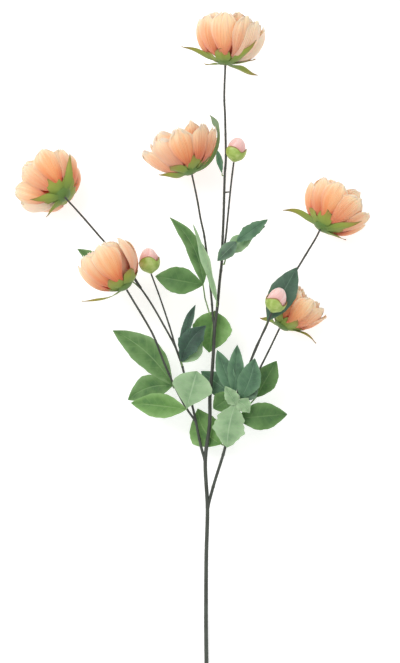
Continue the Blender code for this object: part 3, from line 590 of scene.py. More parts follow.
# %% Grow the petals
PETAL_CELLS = (36, 34)
PLEATS = 26.0
PLEAT_DEPTH = 0.00028
RIM_WAVE = 0.010
VOILE = pleated_voile()


def petal_points(name, bloom):
    """One point for each petal, with the numbers that shape it, drawn in the solids' order."""
    rows = []
    rng = random.Random(bloom["seed"])
    for ring, (root_less, tip_less, root_radius, root_height, claw, marks) in enumerate(PETAL_RINGS):
        step = 360.0 / len(marks)
        for k, outside in enumerate(marks):
            azimuth = bloom["phase"] + step * (k + 0.5 * ring) + rng.uniform(-3, 3)
            lean = bloom["lean"] * math.cos(math.radians(azimuth - bloom["lean_to"])) + rng.uniform(-2, 2)
            size = (1.0, bloom["inner"], 0.8 * bloom["inner"])[ring] * rng.uniform(0.97, 1.03)
            broad = rng.uniform(0.90, 1.10)
            if ring == 0 and k == bloom.get("missing"):
                continue
            # How much painted shade each ring gets near its roots: outer petals under their neighbours get
            # some, a bloom's deeper dye adds to the outer ring, the middle ring gets more and the innermost
            # the most
            dye_depth_and_painted_shade = (0.42 * (1 - outside) + bloom.get("deeper", 0.0), bloom.get("gap_depth", 0.85), 1.0)
            rows.append(dict(
                azimuth=azimuth, root_angle=bloom["root_angle"] - root_less + lean * 0.5,
                tip_angle=bloom["tip_angle"] - tip_less + lean, length=bloom["length"] * size,
                half_width=bloom["width"] * size * broad / 2,
                root_radius=root_radius + OUTSIDE_STEP * outside,
                root_height=root_height - OUTSIDE_STEP * 0.5 * outside,
                petal=bloom["seed"] * 20.0 + len(rows), depth=dye_depth_and_painted_shade[ring], claw=claw,
                cream=bloom.get("gap_cream", 0.0) * (ring == 1)))
            own = SHOWN_PETALS.get((name, k), {}) if ring == 0 else {}
            for label in ("azimuth", "root_angle", "tip_angle", "length"):
                rows[-1][label] += own.get(label, 0)
            rows[-1]["half_width"] *= own.get("broad", 1.0)
            rows[-1].update({label: own[label] for label in ("claw", "cream") if label in own})
    fields = {label: [row[label] for row in rows] for label in rows[0]}
    return new_mesh("petal_points", [(0, 0, 0)] * len(rows), [], [], fields)


def thickened(mesh, thickness):
    """Give a mesh that is a sheet its real thickness."""
    obj = new_object("sheet", mesh)
    modifier = obj.modifiers.new("thickness", "SOLIDIFY")
    modifier.thickness = thickness
    modifier.offset = 0.0
    return plain_mesh(obj)


def joined(meshes):
    """Several meshes as one, with their materials and attributes."""
    objects = [new_object("part", mesh) for mesh in meshes]
    with bpy.context.temp_override(active_object=objects[0], selected_editable_objects=objects):
        bpy.ops.object.join()
    mesh = objects[0].data
    bpy.data.objects.remove(objects[0])
    return mesh


def turned(profile, mat, sides):
    """A closed turned body round Z: profile rows are (radius, height), and radius 0 closes an end."""
    places, faces, rings = [], [], []
    for radius, height in profile:
        count = sides if radius else 1
        rings.append(range(len(places), len(places) + count))
        for k in range(count):
            angle = 2 * math.pi * k / sides
            places.append((radius * math.cos(angle), radius * math.sin(angle), height))
    for low, high in zip(rings, rings[1:]):
        for k in range(sides):
            m = (k + 1) % sides
            corners = [low[k % len(low)], low[m % len(low)], high[m % len(high)], high[k % len(high)]]
            faces.append(list(dict.fromkeys(corners)))
    return new_mesh("turned", places, [], faces, mat=mat)


core_top = BLOOM_CORE_HEIGHT + BLOOM_CORE_FOOT
CORE_PROFILE = [(0, BLOOM_CORE_FOOT), (BLOOM_CORE_RADIUS * 0.6, 0.0040), (BLOOM_CORE_RADIUS, 0.0085),
                (BLOOM_CORE_RADIUS * 0.75, core_top - 0.002), (0, core_top)]
for name, bloom in BLOOMS.items():
    sheets = grow(name, petal_points(name, bloom), PETALS, {
        "Rows": PETAL_CELLS[0] + 1, "Columns": PETAL_CELLS[1] + 1, "Twist": PETAL_TWIST, "Pleats": PLEATS,
        "Pleat depth": PLEAT_DEPTH, "Rim wave": RIM_WAVE, "Rim cut": bloom.get("rim_cut", 0.26),
        "Rim points": bloom.get("rim_points", 4.2), "Finish": VOILE})
    cloth = joined([thickened(sheets, PETAL_THICKNESS), turned(CORE_PROFILE, VOILE, sides=24)])
    place_on_stem(cloth, name, bloom)
    finished(name + "_petal_cloth", cloth, name + "_petals")
    print(name, "petals:", len(cloth.polygons), "faces")

# %% [markdown]
# Leaves, sepals and bracts are single thin blades. Each has its own length, bend and width, so they
# are worked out row by row rather than grown by one rule: the same middle line, arch, fold and sweep
# as the solids have, but in fine cells, with the midrib sunk, the side veins drawn in, and a soft
# wave along the edge. Both faces are made at once, so every blade is a closed body.

# %% Fine blades
VEIN_SLANT = 0.16


def closed_blade(grid, thickness):
    """The points and faces of a thin closed sheet on a grid of points (rows, columns, 3)."""
    rows, columns = grid.shape[:2]
    normal = np.cross(np.gradient(grid, axis=1), np.gradient(grid, axis=0))
    normal /= np.linalg.norm(normal, axis=2, keepdims=True) + 1e-12
    both = np.concatenate([(grid + normal * thickness / 2).reshape(-1, 3),
                           (grid - normal * thickness / 2).reshape(-1, 3)])
    number = np.arange(rows * columns).reshape(rows, columns)
    top = np.stack([number[:-1, :-1], number[1:, :-1], number[1:, 1:], number[:-1, 1:]], axis=2)
    top = top.reshape(-1, 4)
    under = top[:, ::-1] + rows * columns
    loop = np.concatenate([number[0, :-1], number[:-1, -1], number[-1, :0:-1], number[:0:-1, 0]])
    ahead = np.roll(loop, -1)
    rim = np.stack([loop, ahead, ahead + rows * columns, loop + rows * columns], axis=1)
    return both, np.concatenate([top, under, rim])[:, ::-1]      # so that the faces look outwards


def blades_mesh(name, blades, mat):
    """One mesh of several blades, each (grid, along, across, thickness), with fields for its finish."""
    places, faces, fields = [], [], {"along": [], "across": [], "side": [], "blade": []}
    start = 0
    for number, (grid, along, across, thickness) in enumerate(blades):
        both, quads = closed_blade(grid, thickness)
        places.append(both)
        faces.append(quads + start)
        start += len(both)
        side = np.repeat([1.0, 0.0], len(both) // 2)
        values = np.tile(along.ravel(), 2), np.tile(across.ravel(), 2), side, np.full(len(both), number)
        for label, part in zip(fields, values):
            fields[label].append(part)
    fields = {label: np.concatenate(parts) for label, parts in fields.items()}
    return new_mesh(name, np.concatenate(places).tolist(), [], np.concatenate(faces).tolist(), fields, mat)


def vein_field(along, across, veins):
    """0 to 1 over a blade: 1 on the side veins, which slant towards the tip, and on the midrib."""
    phase = veins * (along - VEIN_SLANT * np.abs(across))
    side = np.exp(-(np.sin(math.pi * phase) / 0.22) ** 2) * (1 - np.abs(across) ** 4)
    midrib = np.exp(-(across / 0.06) ** 2)
    return np.maximum(side * 0.6, midrib)


# %% Sepals
# A long sepal's azimuth, its length, and its angle at root and tip
LONG_SEPALS = {
    "top_bloom": [(176, 0.060, 64, 78), (42, 0.056, 78, 42), (-6, 0.037, 84, 60), (-34, 0.050, 100, 92),
                  (200, 0.026, 100, 75)],
    "centre_bloom": [(178, 0.040, 84, 56), (8, 0.098, 92, -24)],
    "far_left_bloom": [(32, 0.056, 72, 36), (150, 0.042, 84, 64), (204, 0.034, 88, 72)],
    "left_bloom": [(188, 0.060, 95, 50)],
    "far_right_bloom": [(190, 0.056, 66, 122), (40, 0.056, 74, 48), (-12, 0.034, 80, 60)],
    "right_bloom": [(-4, 0.050, 50, 100), (200, 0.028, 90, 110)],
}
CALYX_RADIUS = 0.0115
SEPAL_ROOT = 0.0060
SEPAL_LENGTH = 0.0290
SEPAL_WIDTH = 0.0215
SEPAL_HEIGHT = 0.0022        # of a sepal's root above the cup's foot
SEPAL_BEND = (-8, -38)       # a broad sepal's angle at root and tip, from the petals' root angle
LONG_SEPAL_WIDTH = 0.0120
LONG_SEPAL_HEIGHT = 0.0018
SEPAL_VEINS = 5
SEPAL_VEIN_DEPTH = 0.00015
SEPAL_CURL = 0.0010          # how far a sepal's edge curls up and down
SEPAL_ROLL = 28              # how far a long sepal turns on its middle line, in degrees
LEAFY_ROLL = 75
SEPAL_CELLS = (26, 12)
SEPAL_THICKNESS = 0.0006
LEAFY_FROM = 0.09            # a sepal longer than this ends in a small leaf


def sepal_width(u, long, leafy=False):
    """A sepal's width along its length: broad from its foot, or drawn out like a leaf, and in one
    case with a small leaf at its end."""
    if leafy:
        drawn_out = 0.5 * (1 - u) + np.exp(-((u - 0.86) / 0.085) ** 2) * 0.55
        return np.maximum(drawn_out + 0.16 * (1 - u ** 8), 0.012)
    widest = 0.36 if long else 0.45
    rise = 0.48 + 0.52 * np.sin(math.pi / 2 * np.minimum(u / widest, 1))
    fall = 1 - np.maximum((u - widest) / (1 - widest), 0) ** (1.3 if long else 3.2)
    return np.maximum(rise * fall, 0.012)


def breadth_from_above(azimuth, angle, roll):
    """The share of a sepal's width that shows from above, when the blade is rolled on its middle line."""
    return abs(math.cos(azimuth) * math.sin(roll) - math.sin(azimuth) * math.cos(angle) * math.cos(roll))


def sepal_blade(azimuth, height, length, width, start_angle, end_angle, seed, long=False, leafy=False):
    """A leafy scale round the Z axis that follows the petals' outside."""
    rng = random.Random(seed)
    u, v = np.meshgrid(np.linspace(0, 1, SEPAL_CELLS[0] + 1), np.linspace(-1, 1, SEPAL_CELLS[1] + 1),
                       indexing="ij")
    begin, turn = math.radians(start_angle), math.radians(end_angle - start_angle)
    angle = begin + turn * u
    out = length * (math.cos(begin) - np.cos(angle)) / turn
    up = length * (np.sin(angle) - math.sin(begin)) / turn
    half = width / 2 * sepal_width(u, long, leafy)
    vein = vein_field(u, v, SEPAL_VEINS)
    curl = SEPAL_CURL * np.sin(2 * math.pi * (u * 1.3 + rng.random())) * np.abs(v)
    turn_to = math.radians(azimuth)
    most = math.radians(LEAFY_ROLL if leafy else SEPAL_ROLL * long) * abs(math.cos(turn_to))
    roll = max((most, -most), key=lambda r: breadth_from_above(turn_to, float(angle.mean()), r))
    roll = roll * np.minimum(1, u * 1.6)
    away = -half * 0.25 * np.abs(v) + curl - vein * SEPAL_VEIN_DEPTH + half * v * np.sin(roll)
    outward = SEPAL_ROOT + out + away * np.cos(angle)
    upward = height + up - away * np.sin(angle)
    aside = half * v * np.cos(roll)
    grid = np.stack([outward * math.cos(turn_to) - aside * math.sin(turn_to),
                     outward * math.sin(turn_to) + aside * math.cos(turn_to), upward], axis=2)
    return grid, u, v, SEPAL_THICKNESS


def sepal_finish(name, greens, tip_dye):
    """Printed polyester leaf cloth: matt yellow-green that browns towards tip and edge, as on a
    real calyx, with a grain about 0.7 mm wide along it. Where a sepal ends in a small leaf, its
    tip is grey-green instead."""
    mat, node, u, v, blade = new_material(name, "along", "across", "blade")
    spot = node("CombineXYZ", v, u, blade)
    mottle = node("TexNoise", {"Vector": spot, "Scale": 4.0, "Detail": 3.0})
    lengthways = node("Mapping", {0: spot, 3: (1.0, 0.1, 1.0)})
    grain = node("TexNoise", {"Vector": lengthways, "Scale": 14.0, "Detail": 2.0})
    edge = node("POWER", node("ABSOLUTE", v), 5.0)
    reach = node("MULTIPLY_ADD", edge, 0.22, node("MULTIPLY_ADD", mottle, 0.55, u))
    brown = node("MapRange", reach, 0.92, 1.38, 0.0, 0.85)
    colour = node("Mix", {0: brown, 6: node("ValToRGB", u, stops=greens), 7: tip_dye}, **BLEND)
    close_material(node, colour, 0.65, (grain, 0.4, 0.0003), {"Sheen Weight": 0.15})
    return mat


SEPAL_CLOTH = sepal_finish("printed_sepal_cloth", [
    (0.0, "#5A7A30"), (0.30, "#7C9134"), (0.8, "#939636")], "#8A6430")
LEAFY_CLOTH = sepal_finish("printed_leafy_sepal_cloth", [
    (0.0, "#5A7A30"), (0.30, "#66803A"), (0.6, "#6F8450"), (0.85, "#7F9A76")], "#7B8A66")
CUP_PROFILE = [(r * CALYX_RADIUS, z) for r, z in (
    (0, 0.0), (0.30, 0.0004), (0.72, 0.0018), (0.95, 0.0034), (1.00, 0.0040), (0.96, 0.0044),
    (0.70, 0.0034), (0, 0.0028))]
for name, bloom in BLOOMS.items():
    root, tip = (bloom["root_angle"] + bend for bend in SEPAL_BEND)
    sepals = [sepal_blade(bloom["sepal_phase"] + 72 * k, SEPAL_HEIGHT, SEPAL_LENGTH, SEPAL_WIDTH,
                          root, tip, bloom["seed"] * 10 + k) for k in range(5)]
    leafy_sepals = []
    for k, (azimuth, length, root, tip) in enumerate(LONG_SEPALS[name]):
        leafy = length > LEAFY_FROM
        (leafy_sepals if leafy else sepals).append(sepal_blade(
            azimuth, LONG_SEPAL_HEIGHT, length, LONG_SEPAL_WIDTH, root, tip, k, True, leafy))
    parts = [turned(CUP_PROFILE, SEPAL_CLOTH, sides=32), blades_mesh("sepals", sepals, SEPAL_CLOTH)]
    if leafy_sepals:
        parts.append(blades_mesh("leafy_sepals", leafy_sepals, LEAFY_CLOTH))
    calyx = joined(parts)
    place_on_stem(calyx, name, bloom)
    finished(name + "_calyx_cloth", calyx, name + "_calyx")
print("sepals on", len(BLOOMS), "blooms,", sum(map(len, LONG_SEPALS.values())), "of them long")

# %% [markdown]
# The stamens are a tuft of fine yellow threads, each with a small golden head. They repeat dozens of
# times, so a tree sets copies of one thread on a sunflower spiral and tips the outer ones outwards.

# %% Stamens
STAMENS_IN_BLOOM = 70
STAMEN_LENGTH = 0.0128
STAMEN_SPREAD = 0.0034       # the tuft's radius at its foot
STAMEN_LEAN = 0.38           # of the outermost stamens, in radians
THREAD_RADIUS = 0.00022
HEAD_RADIUS = 0.00062
TUFT_FOOT = 0.001            # of the threads above the foot of the disc that they stand on
GOLDEN_ANGLE = math.radians(137.5)


def stamen_finish():
    """Dyed cotton thread with flocked heads: soft and matt, with specks of flock about 0.7 mm wide."""
    mat, node = new_material("flocked_stamen_thread")
    fluff = node("TexNoise", {"Vector": node("TexCoord", out="Object"), "Scale": 1500.0, "Detail": 2.0})
    colour = node("ValToRGB", fluff, stops=[(0.35, "#D58A18"), (0.5, "#EDB233"), (0.65, "#F6D05C")])
    close_material(node, colour, 0.85, (fluff, 0.6, 0.0002), {"Sheen Weight": 0.3})
    return mat


def stamen_growth():
    """Copies of one stamen on a spiral round the Z axis, leaning outwards."""
    tree, node, given = new_growth("stamens", {
        "Count": "Int", "Spread": "Float", "Lean": "Float", "Length": "Float", "Seed": "Int",
        "Finish": "Material"})
    points = node("MeshLine", {"Count": given["Count"], "Offset": (0, 0, 0)})
    index = node("InputIndex")
    turn = node("MULTIPLY", index, GOLDEN_ANGLE)
    share = node("SQRT", node("DIVIDE", node("ADD", index, 0.5), given["Count"]))
    radius = node("MULTIPLY", share, given["Spread"])
    x, y = [node("MULTIPLY", radius, node(way, turn)) for way in ("COSINE", "SINE")]
    points = node("SetPosition", {"Geometry": points, "Position": node("CombineXYZ", x, y, 0.0)})
    rotation = node("CombineXYZ", 0.0, node("MULTIPLY", share, given["Lean"]), turn)
    scale = node("RandomValue", {2: 0.75, 3: 1.0, "Seed": given["Seed"]}, out=1, data_type="FLOAT")
    end = node("CombineXYZ", 0.0, 0.0, given["Length"])
    thread = node("CurvePrimitiveLine", {"End": end})
    ring = node("CurvePrimitiveCircle", {"Resolution": 5, "Radius": THREAD_RADIUS})
    thread = node("CurveToMesh", {"Curve": thread, "Profile Curve": ring, "Fill Caps": True})
    head = node("MeshUVSphere", {"Segments": 6, "Rings": 5, "Radius": HEAD_RADIUS})
    head = node("Transform", {"Geometry": head, "Scale": (1.0, 1.0, 2.2), "Translation": end})
    copies = node("InstanceOnPoints", {
        "Points": points, "Instance": node("JoinGeometry", [thread, head]), "Rotation": rotation,
        "Scale": scale})
    close_growth(node, copies, given["Finish"])
    return tree


STAMENS = stamen_growth()
STAMEN_THREAD = stamen_finish()
stamen_foot = core_top + GAP
DISC_PROFILE = [(r, stamen_foot + z) for r, z in ((0, 0), (0.0042, 0), (0.0038, 0.002), (0, 0.003))]
for name, bloom in BLOOMS.items():
    threads = grow(name, bpy.data.meshes.new("empty"), STAMENS, {
        "Count": STAMENS_IN_BLOOM, "Spread": STAMEN_SPREAD, "Lean": STAMEN_LEAN, "Length": STAMEN_LENGTH,
        "Seed": bloom["seed"], "Finish": STAMEN_THREAD})
    threads.transform(Matrix.Translation((0, 0, stamen_foot + TUFT_FOOT)))
    tuft = joined([threads, turned(DISC_PROFILE, STAMEN_THREAD, sides=20)])
    place_on_stem(tuft, name, bloom)
    finished(name + "_stamen_tuft", tuft, name + "_stamens")
print("stamens on", len(BLOOMS), "blooms")

# %% [markdown]
# A bud is a tight ball of petals in a cup of rounded green scales. Its petals can't be told apart
# from outside except by the folds where one lies over the next, so the ball is one surface whose
# radius steps a little along slanting folds. The cup is a second surface just outside it.

# %% Buds
BUDS = {
    "top_bud": dict(heading=12, dip=-6, size=0.95, phase=10),
    "left_bud": dict(heading=-8, dip=4, size=1.0, phase=40),
    "right_bud": dict(heading=22, dip=-14, size=1.0, phase=70),
}
BUD_LENGTH = 0.0360
BUD_RADIUS = 0.0135
BUD_FOOT = 0.0025
BUD_CELLS = (40, 60)
CUP_CELLS = (16, 72)
BUD_FOLDS = 4
FOLD_STEP = 0.0011           # how far the ball's surface steps out over a fold
BUD_PUCKER = 0.0006
HEAD_INSET = 0.0008          # of the ball inside the bud's radius
CUP_INSIDE = 0.0006          # of the cup's inner wall outside that radius
CUP_WALL = 0.0007
CUP_FOOT_RADIUS = 0.0022


def bud_radius(height):
    """The bud's radius at a height from 0 to 1: a ball drawn out to a blunt tip."""
    return np.sqrt(np.clip(1.0 - (2.0 * height ** 0.85 - 1.0) ** 2, 0, 1))


def round_mesh(name, radius, height, along, across, mat):
    """A closed surface round Z from fields over (rows, azimuths), with a pole at each end."""
    rows, sides = radius.shape
    turn = np.linspace(0, 2 * math.pi, sides, endpoint=False)[None, :]
    grid = np.stack([radius * np.cos(turn), radius * np.sin(turn), height], axis=2)
    poles = [grid[0].mean(axis=0), grid[-1].mean(axis=0)]
    places = np.concatenate([grid.reshape(-1, 3), poles])
    number = np.arange(rows * sides).reshape(rows, sides)
    right = np.roll(number, -1, axis=1)
    quads = np.stack([number[:-1], right[:-1], right[1:], number[1:]], axis=2).reshape(-1, 4).tolist()
    caps = [[rows * sides, int(b), int(a)] for a, b in zip(number[0], right[0])]
    caps += [[rows * sides + 1, int(a), int(b)] for a, b in zip(number[-1], right[-1])]
    fields = {label: np.concatenate([field.ravel(), [field[0].mean(), field[-1].mean()]])
              for label, field in (("along", along), ("across", across))}
    return new_mesh(name, places.tolist(), [], quads + caps, fields, mat)


def bud_petal_finish():
    """Silk-like polyester, blush pink with paler folds: soft, with a slight sheen and streaks about
    0.8 mm wide and 10 mm long."""
    mat, node, u, fold = new_material("blush_petal_cloth", "along", "across")
    lengthways = node("Mapping", {0: node("CombineXYZ", fold, u, 0.0), 3: (3.0, 0.4, 1.0)})
    streak = node("TexNoise", {"Vector": lengthways, "Scale": 9.0, "Detail": 3.0})
    base = node("ValToRGB", u, stops=[(0.30, "#DD9B93"), (0.6, "#E4B3AC"), (0.95, "#EBCFC8")])
    pale = node("MULTIPLY", node("POWER", fold, 3.0), 0.6)
    colour = node("Mix", {0: pale, 6: base, 7: "#FAE6E0"}, **BLEND)
    tint = node("MapRange", streak, 0.4, 0.75, 0.0, 0.5)
    colour = node("Mix", {0: tint, 6: colour, 7: "#D28D86"}, **BLEND)
    close_material(node, colour, 0.7, (streak, 0.3, 0.0003), {
        "Sheen Weight": 0.3, "Subsurface Weight": 0.25, "Subsurface Radius": (1.0, 0.5, 0.4),
        "Subsurface Scale": 0.002})
    return mat


def bud_cup_finish():
    """Moulded scales with a printed rim: fresh lime, mottled about every 6 mm, that turns brown
    where each scale ends."""
    mat, node, u, seam = new_material("moulded_bud_scale", "along", "across")
    mottle = node("TexNoise", {"Vector": node("TexCoord", out="Object"), "Scale": 160.0, "Detail": 3.0})
    green = node("ValToRGB", mottle, stops=[(0.3, "#8BA548"), (0.5, "#9DB458"), (0.7, "#B4C478")])
    green = node("Mix", {0: node("MULTIPLY", seam, 0.45), 6: green, 7: "#7E9E3C"}, **BLEND)
    brown = node("MapRange", node("MULTIPLY_ADD", mottle, 0.12, u), 0.95, 1.06, 0.0, 0.9)
    colour = node("Mix", {0: brown, 6: green, 7: "#8A5A2E"}, **BLEND)
    close_material(node, colour, 0.5, (mottle, 0.25, 0.0004))
    return mat


BLUSH_CLOTH = bud_petal_finish()
BUD_SCALE = bud_cup_finish()


def bud_head(bud):
    """The ball of petals: its radius steps in a little at each slanting fold."""
    length, radius = BUD_LENGTH * bud["size"], BUD_RADIUS * bud["size"]
    h, turn = np.meshgrid(np.linspace(0.015, 0.985, BUD_CELLS[0]),
                          np.linspace(0, 1, BUD_CELLS[1], endpoint=False), indexing="ij")
    fold = (turn * BUD_FOLDS + 0.9 * h + bud["phase"] / 90) % 1.0
    step = FOLD_STEP * fold ** 2 * np.sin(math.pi * h)
    pucker = BUD_PUCKER * np.sin(2 * math.pi * (turn * 9 + h)) * h ** 3
    return round_mesh("head", radius * bud_radius(h) - HEAD_INSET + step + pucker,
                      BUD_FOOT + (length - BUD_FOOT) * h, h, fold, BLUSH_CLOTH)


def bud_cup(bud):
    """The cup of three round scales, open at the top, as a closed wall."""
    length, radius = BUD_LENGTH * bud["size"], BUD_RADIUS * bud["size"]
    rise, turn = np.meshgrid(np.linspace(0, 1, CUP_CELLS[0]),
                             np.linspace(0, 2 * math.pi, CUP_CELLS[1], endpoint=False), indexing="ij")
    lobe = np.cos(1.5 * turn + math.radians(bud["phase"]) / 2) ** 2
    rim = 0.38 + 0.20 * lobe ** 0.6 + 0.015 * np.sin(5 * turn + 1)
    h = 0.04 + (rim - 0.04) * rise
    seam = np.exp(-(lobe / 0.06) ** 2)
    inner = radius * bud_radius(h) + CUP_INSIDE
    outer = inner + CUP_WALL + 0.0003 * rise - 0.0004 * seam * rise
    level = BUD_FOOT + (length - BUD_FOOT) * h
    wall = np.concatenate([outer, inner[::-1]])
    heights = np.concatenate([level - 0.0005, level[::-1]])
    wall[0], heights[0] = CUP_FOOT_RADIUS, 0.0
    wall[-1], heights[-1] = CUP_FOOT_RADIUS, BUD_FOOT - 0.0006
    return round_mesh("cup", wall, heights, np.concatenate([rise, rise[::-1]]),
                      np.concatenate([seam, seam[::-1]]), BUD_SCALE)


for name, bud in BUDS.items():
    for part, mesh, slot in (("petals", bud_head(bud), "bud_petals"), ("calyx", bud_cup(bud), "bud_cups")):
        place_on_stem(mesh, name, bud)
        finished(name + "_" + part + "_shaped", mesh, name + "_" + part)
print("buds:", len(BUDS))

# %% [markdown]
# The leaves are cut from polyester cloth and pressed in a heated mould, which leaves the veins in
# relief. The upper face is printed darker than the underside, and some leaves lie with their pale
# underside up. Their stalks are green plastic tubes, so the tree that made the stem makes them too.

# %% Leaves
# Each leaf: its slot, its dye, its stalks and its leaflets, in millimetres. A stalk has the route and
# the point of it that it springs from, the side it springs to, its points, and a radius if it is a
# thinner one. A leaflet has its tip, width, where along it it is widest, arch, sweep to the side,
# roll and fold, and what sets it apart. Its base is the end of the last stalk
LEAVES = {
    "leaf_upper_left": ("leaf", "fresh", [
        ("to_centre_bloom", 1, (-1, 0, 0.2), [(3, 488, 59), (-1.5, 503, 61), (-4, 521, 64)])], [
        ((-50.5, 615, 66), 28, 0.45, 1, 12, -24, 14),
        ((-70, 533, 64), 38, 0.5, 6, 0, 5, 10, dict(dye="lush"))]),
    "leaf_slim": ("pale_leaf", "pale", [("to_top_bloom", 1, (-0.2, 0, 1), [(15, 497.5, 64)])], [
        ((-18, 604, 76), 16, 0.45, 4, 8, 48, 20)]),
    "leaf_upper_right": ("dark_leaf", "mid", [
        ("to_top_bloom", 3, (1, 0, 0.1), [(29, 564, 69), (35, 571, 74), (42, 579, 80)])], [
        ((15.8, 553, 74.5), 21, 0.45, 6, 0, 0, -14, dict(dye="grey")),
        ((85, 609, 86), 20, 0.45, 4, 0, 0, 14, dict(ragged=3)),
        ((82, 601, 79), 16, 0.45, -2, -2, 0, 10, dict(dye="grey")),
        ((64, 585, 69), 24, 0.5, 1, -4, 0, 10, dict(base=(29, 564, 69), dye="pale"))]),
    "leaf_inner_left": ("dark_leaf", "deep", [
        ("to_left_pair", 3, (0, 0, 1), [(-33, 412, 46.5), (-34, 415, 49)])], [
        ((-14.5, 494, 60), 15, 0.6, 4, -3, 25, 14),
        ((0, 465, 60), 31, 0.52, 5, -6, 0, 16, dict(ragged=3.5)),
        ((-6, 448, 54), 24, 0.5, -3, 3, 5, 12, dict(dye="pale"))]),
    "leaf_left": ("leaf", "fresh", [("to_left_bloom", 2, (-0.6, 0.2, -0.6), [(-46, 383, 47)])], [
        ((-129, 460, 42), 41, 0.5, 3, 9, 0, 12), ((-108, 364, 38), 36, 0.48, 4, 7, 0, 10)]),
    "leaf_fan": ("leaf", "painted_lit_fresh", [("to_left_bloom", 1, (-0.1, -0.2, 1), [(-27, 350, 50)])], [
        ((-12.5, 402, 60), 56, 0.62, 5, 0, 0, 8, dict(dye="pale")),
        ((-103.5, 359, 48), 35, 0.48, 6, 0, 0, 12)]),
    "leaf_inner_right": ("dark_leaf", "mid", [("right", 5, (-1, 0, 0.4), [(38.5, 369, 58.5)])], [
        ((15.2, 430.7, 64), 25, 0.5, 4, 0, 0, 14), ((43, 437.5, 68), 23, 0.5, 4, 0, 0, 14),
        ((-6.9, 404.4, 33), 32, 0.52, -8, 0, 0, 6),
        ((10, 351.5, 44), 30, 0.5, 2, 0, 0, 10, dict(dye="lush"))]),
    "leaf_outer_right": ("leaf", "grey", [("right", 5, (1, -0.3, 0.5), [(48, 364, 58)])], [
        ((67, 418, 76), 32, 0.48, 3, 3, 0, 8, dict(dye="mid")), ((72, 380, 58), 26, 0.52, 1, -2, 0, 8)]),
    "leaf_bent": ("pale_leaf", "pale", [("right", 5, (0, -0.1, 1), [(42, 366, 60), (42, 360, 62.5)])], [
        ((29, 296.5, 56), 44, 0.56, 3, 3, 0, -12, dict(ragged=3.4)),
        ((26.2, 380, 69), 20, 0.4, 1, 0, 0, 12, dict(base=(42, 355, 63), ragged=2.5)),
        ((60, 344, 60), 21, 0.4, 2, -3, 0, 8, dict(ragged=2.5))]),
    "leaf_lower_right": ("leaf", "lush", [("right", 4, (1, 0, -0.2), [(44, 337, 47)]),
        (None, 0, None, [(44, 337, 47), (54, 350, 42.5), (69, 367, 43)])], [
        ((112.2, 343.5, 44), 39, 0.48, 5, 0, 0, 10, dict(base=(44, 337, 47))),
        ((97.6, 418, 40), 32, 0.48, 0, 0, 0, 8)]),
    "leaf_lowest": ("leaf", "painted_lit_fresh", [("right", 3, (-1, 0, -0.6), [(23.5, 301.5, 37), (21, 303, 34.5)])], [
        ((-11.5, 353, 25.5), 48, 0.42, -1, -9, 9, 5)]),
    "leaf_at_fork": ("leaf", "painted_lit_fresh", [("main", 9, (0, 0, -1), [(11.8, 466, 50), (11.8, 486, 47)])], [
        ((4.2, 429.3, 43), 54, 0.42, 0, 0, 0, 4)]),
    "leaf_right_bud": ("dark_leaf", "dark", [("to_far_right_bloom", 2, (0, 0.1, 1), [(84.5, 469, 79)])], [
        ((125, 543, 84.8), 38, 0.5, 2, 0, 0, -8)]),
    "leaf_behind_left": ("leaf", "fresh", [
        ("to_far_left_bloom", 3, (-0.5, 0.2, -1), [(-97, 525, 37), (-106, 532, 35)])], [
        ((-178.7, 574.8, 34), 24, 0.5, 0, 0, 0, 6)]),
    "bract": ("leaf", "mid", [("to_top_bloom", 6, (-1, 0, 0.1), [(22.2, 674, 78.5)], 0.7)], [
        ((15.5, 706.5, 80), 9, 0.55, 1, 0, 0, 14)]),
}
STALK_RADIUS = 1.0           # in millimetres, as in the table
LEAF_THICKNESS = 0.0006
LEAF_CELLS = (56, 24)
VEIN_SPACING = 0.0085        # between side veins, along the midrib
VEIN_DEPTH = 0.00035
EDGE_WAVE = 0.022            # of the edge in and out, as a share of the half width
FACE_WAVE = 0.0018           # the height of the soft wave along each side


# %% Leaf shapes


def leaf_blade(number, base, tip, width, widest, arch, sweep, roll, fold, ragged=1.0):
    """One leaflet in fine cells: the solids' middle line and width, with veins and a waved edge."""
    rng = random.Random(number)
    run = tip - base
    ahead = run.normalized()
    right = ahead.cross(Vector((0, 0, 1))).normalized()
    normal = right.cross(ahead)
    c, s = math.cos(math.radians(roll)), math.sin(math.radians(roll))
    right, normal = np.array(right * c + normal * s), np.array(normal * c - right * s)
    u, v = np.meshgrid(np.linspace(0.004, 0.998, LEAF_CELLS[0] + 1),
                       np.linspace(-1, 1, LEAF_CELLS[1] + 1), indexing="ij")
    hump = 4 * u * (1 - u)
    half = width / 2 * np.sin(math.pi * u ** (math.log(0.5) / math.log(widest))) ** 0.9
    ripple = np.sin(2 * math.pi * (3.1 * u + rng.random()))
    ripple = ripple + 0.6 * np.sin(2 * math.pi * (7.3 * u + rng.random()))
    edge = half * (1 + EDGE_WAVE * ragged * ripple * np.clip(2 * np.abs(v) - 0.6, 0, 1))
    vein = vein_field(u, v, max(4, round(run.length / VEIN_SPACING)))
    bend = math.radians(fold)
    lift = half * math.sin(bend) * (np.abs(v) - 0.35 * v * v) + arch * hump - VEIN_DEPTH * vein
    left_wave = np.sin(2 * math.pi * (2.2 * u + rng.random()))
    right_wave = np.sin(2 * math.pi * (1.8 * u + rng.random()))
    lift = lift + FACE_WAVE * math.sqrt(ragged) * np.where(v > 0, left_wave, right_wave) * v * v * hump
    aside = edge * math.cos(bend) * v + sweep * hump
    grid = (np.array(base) + np.array(run) * u[..., None] + right * aside[..., None]
            + normal * lift[..., None])
    return grid, u, v, LEAF_THICKNESS


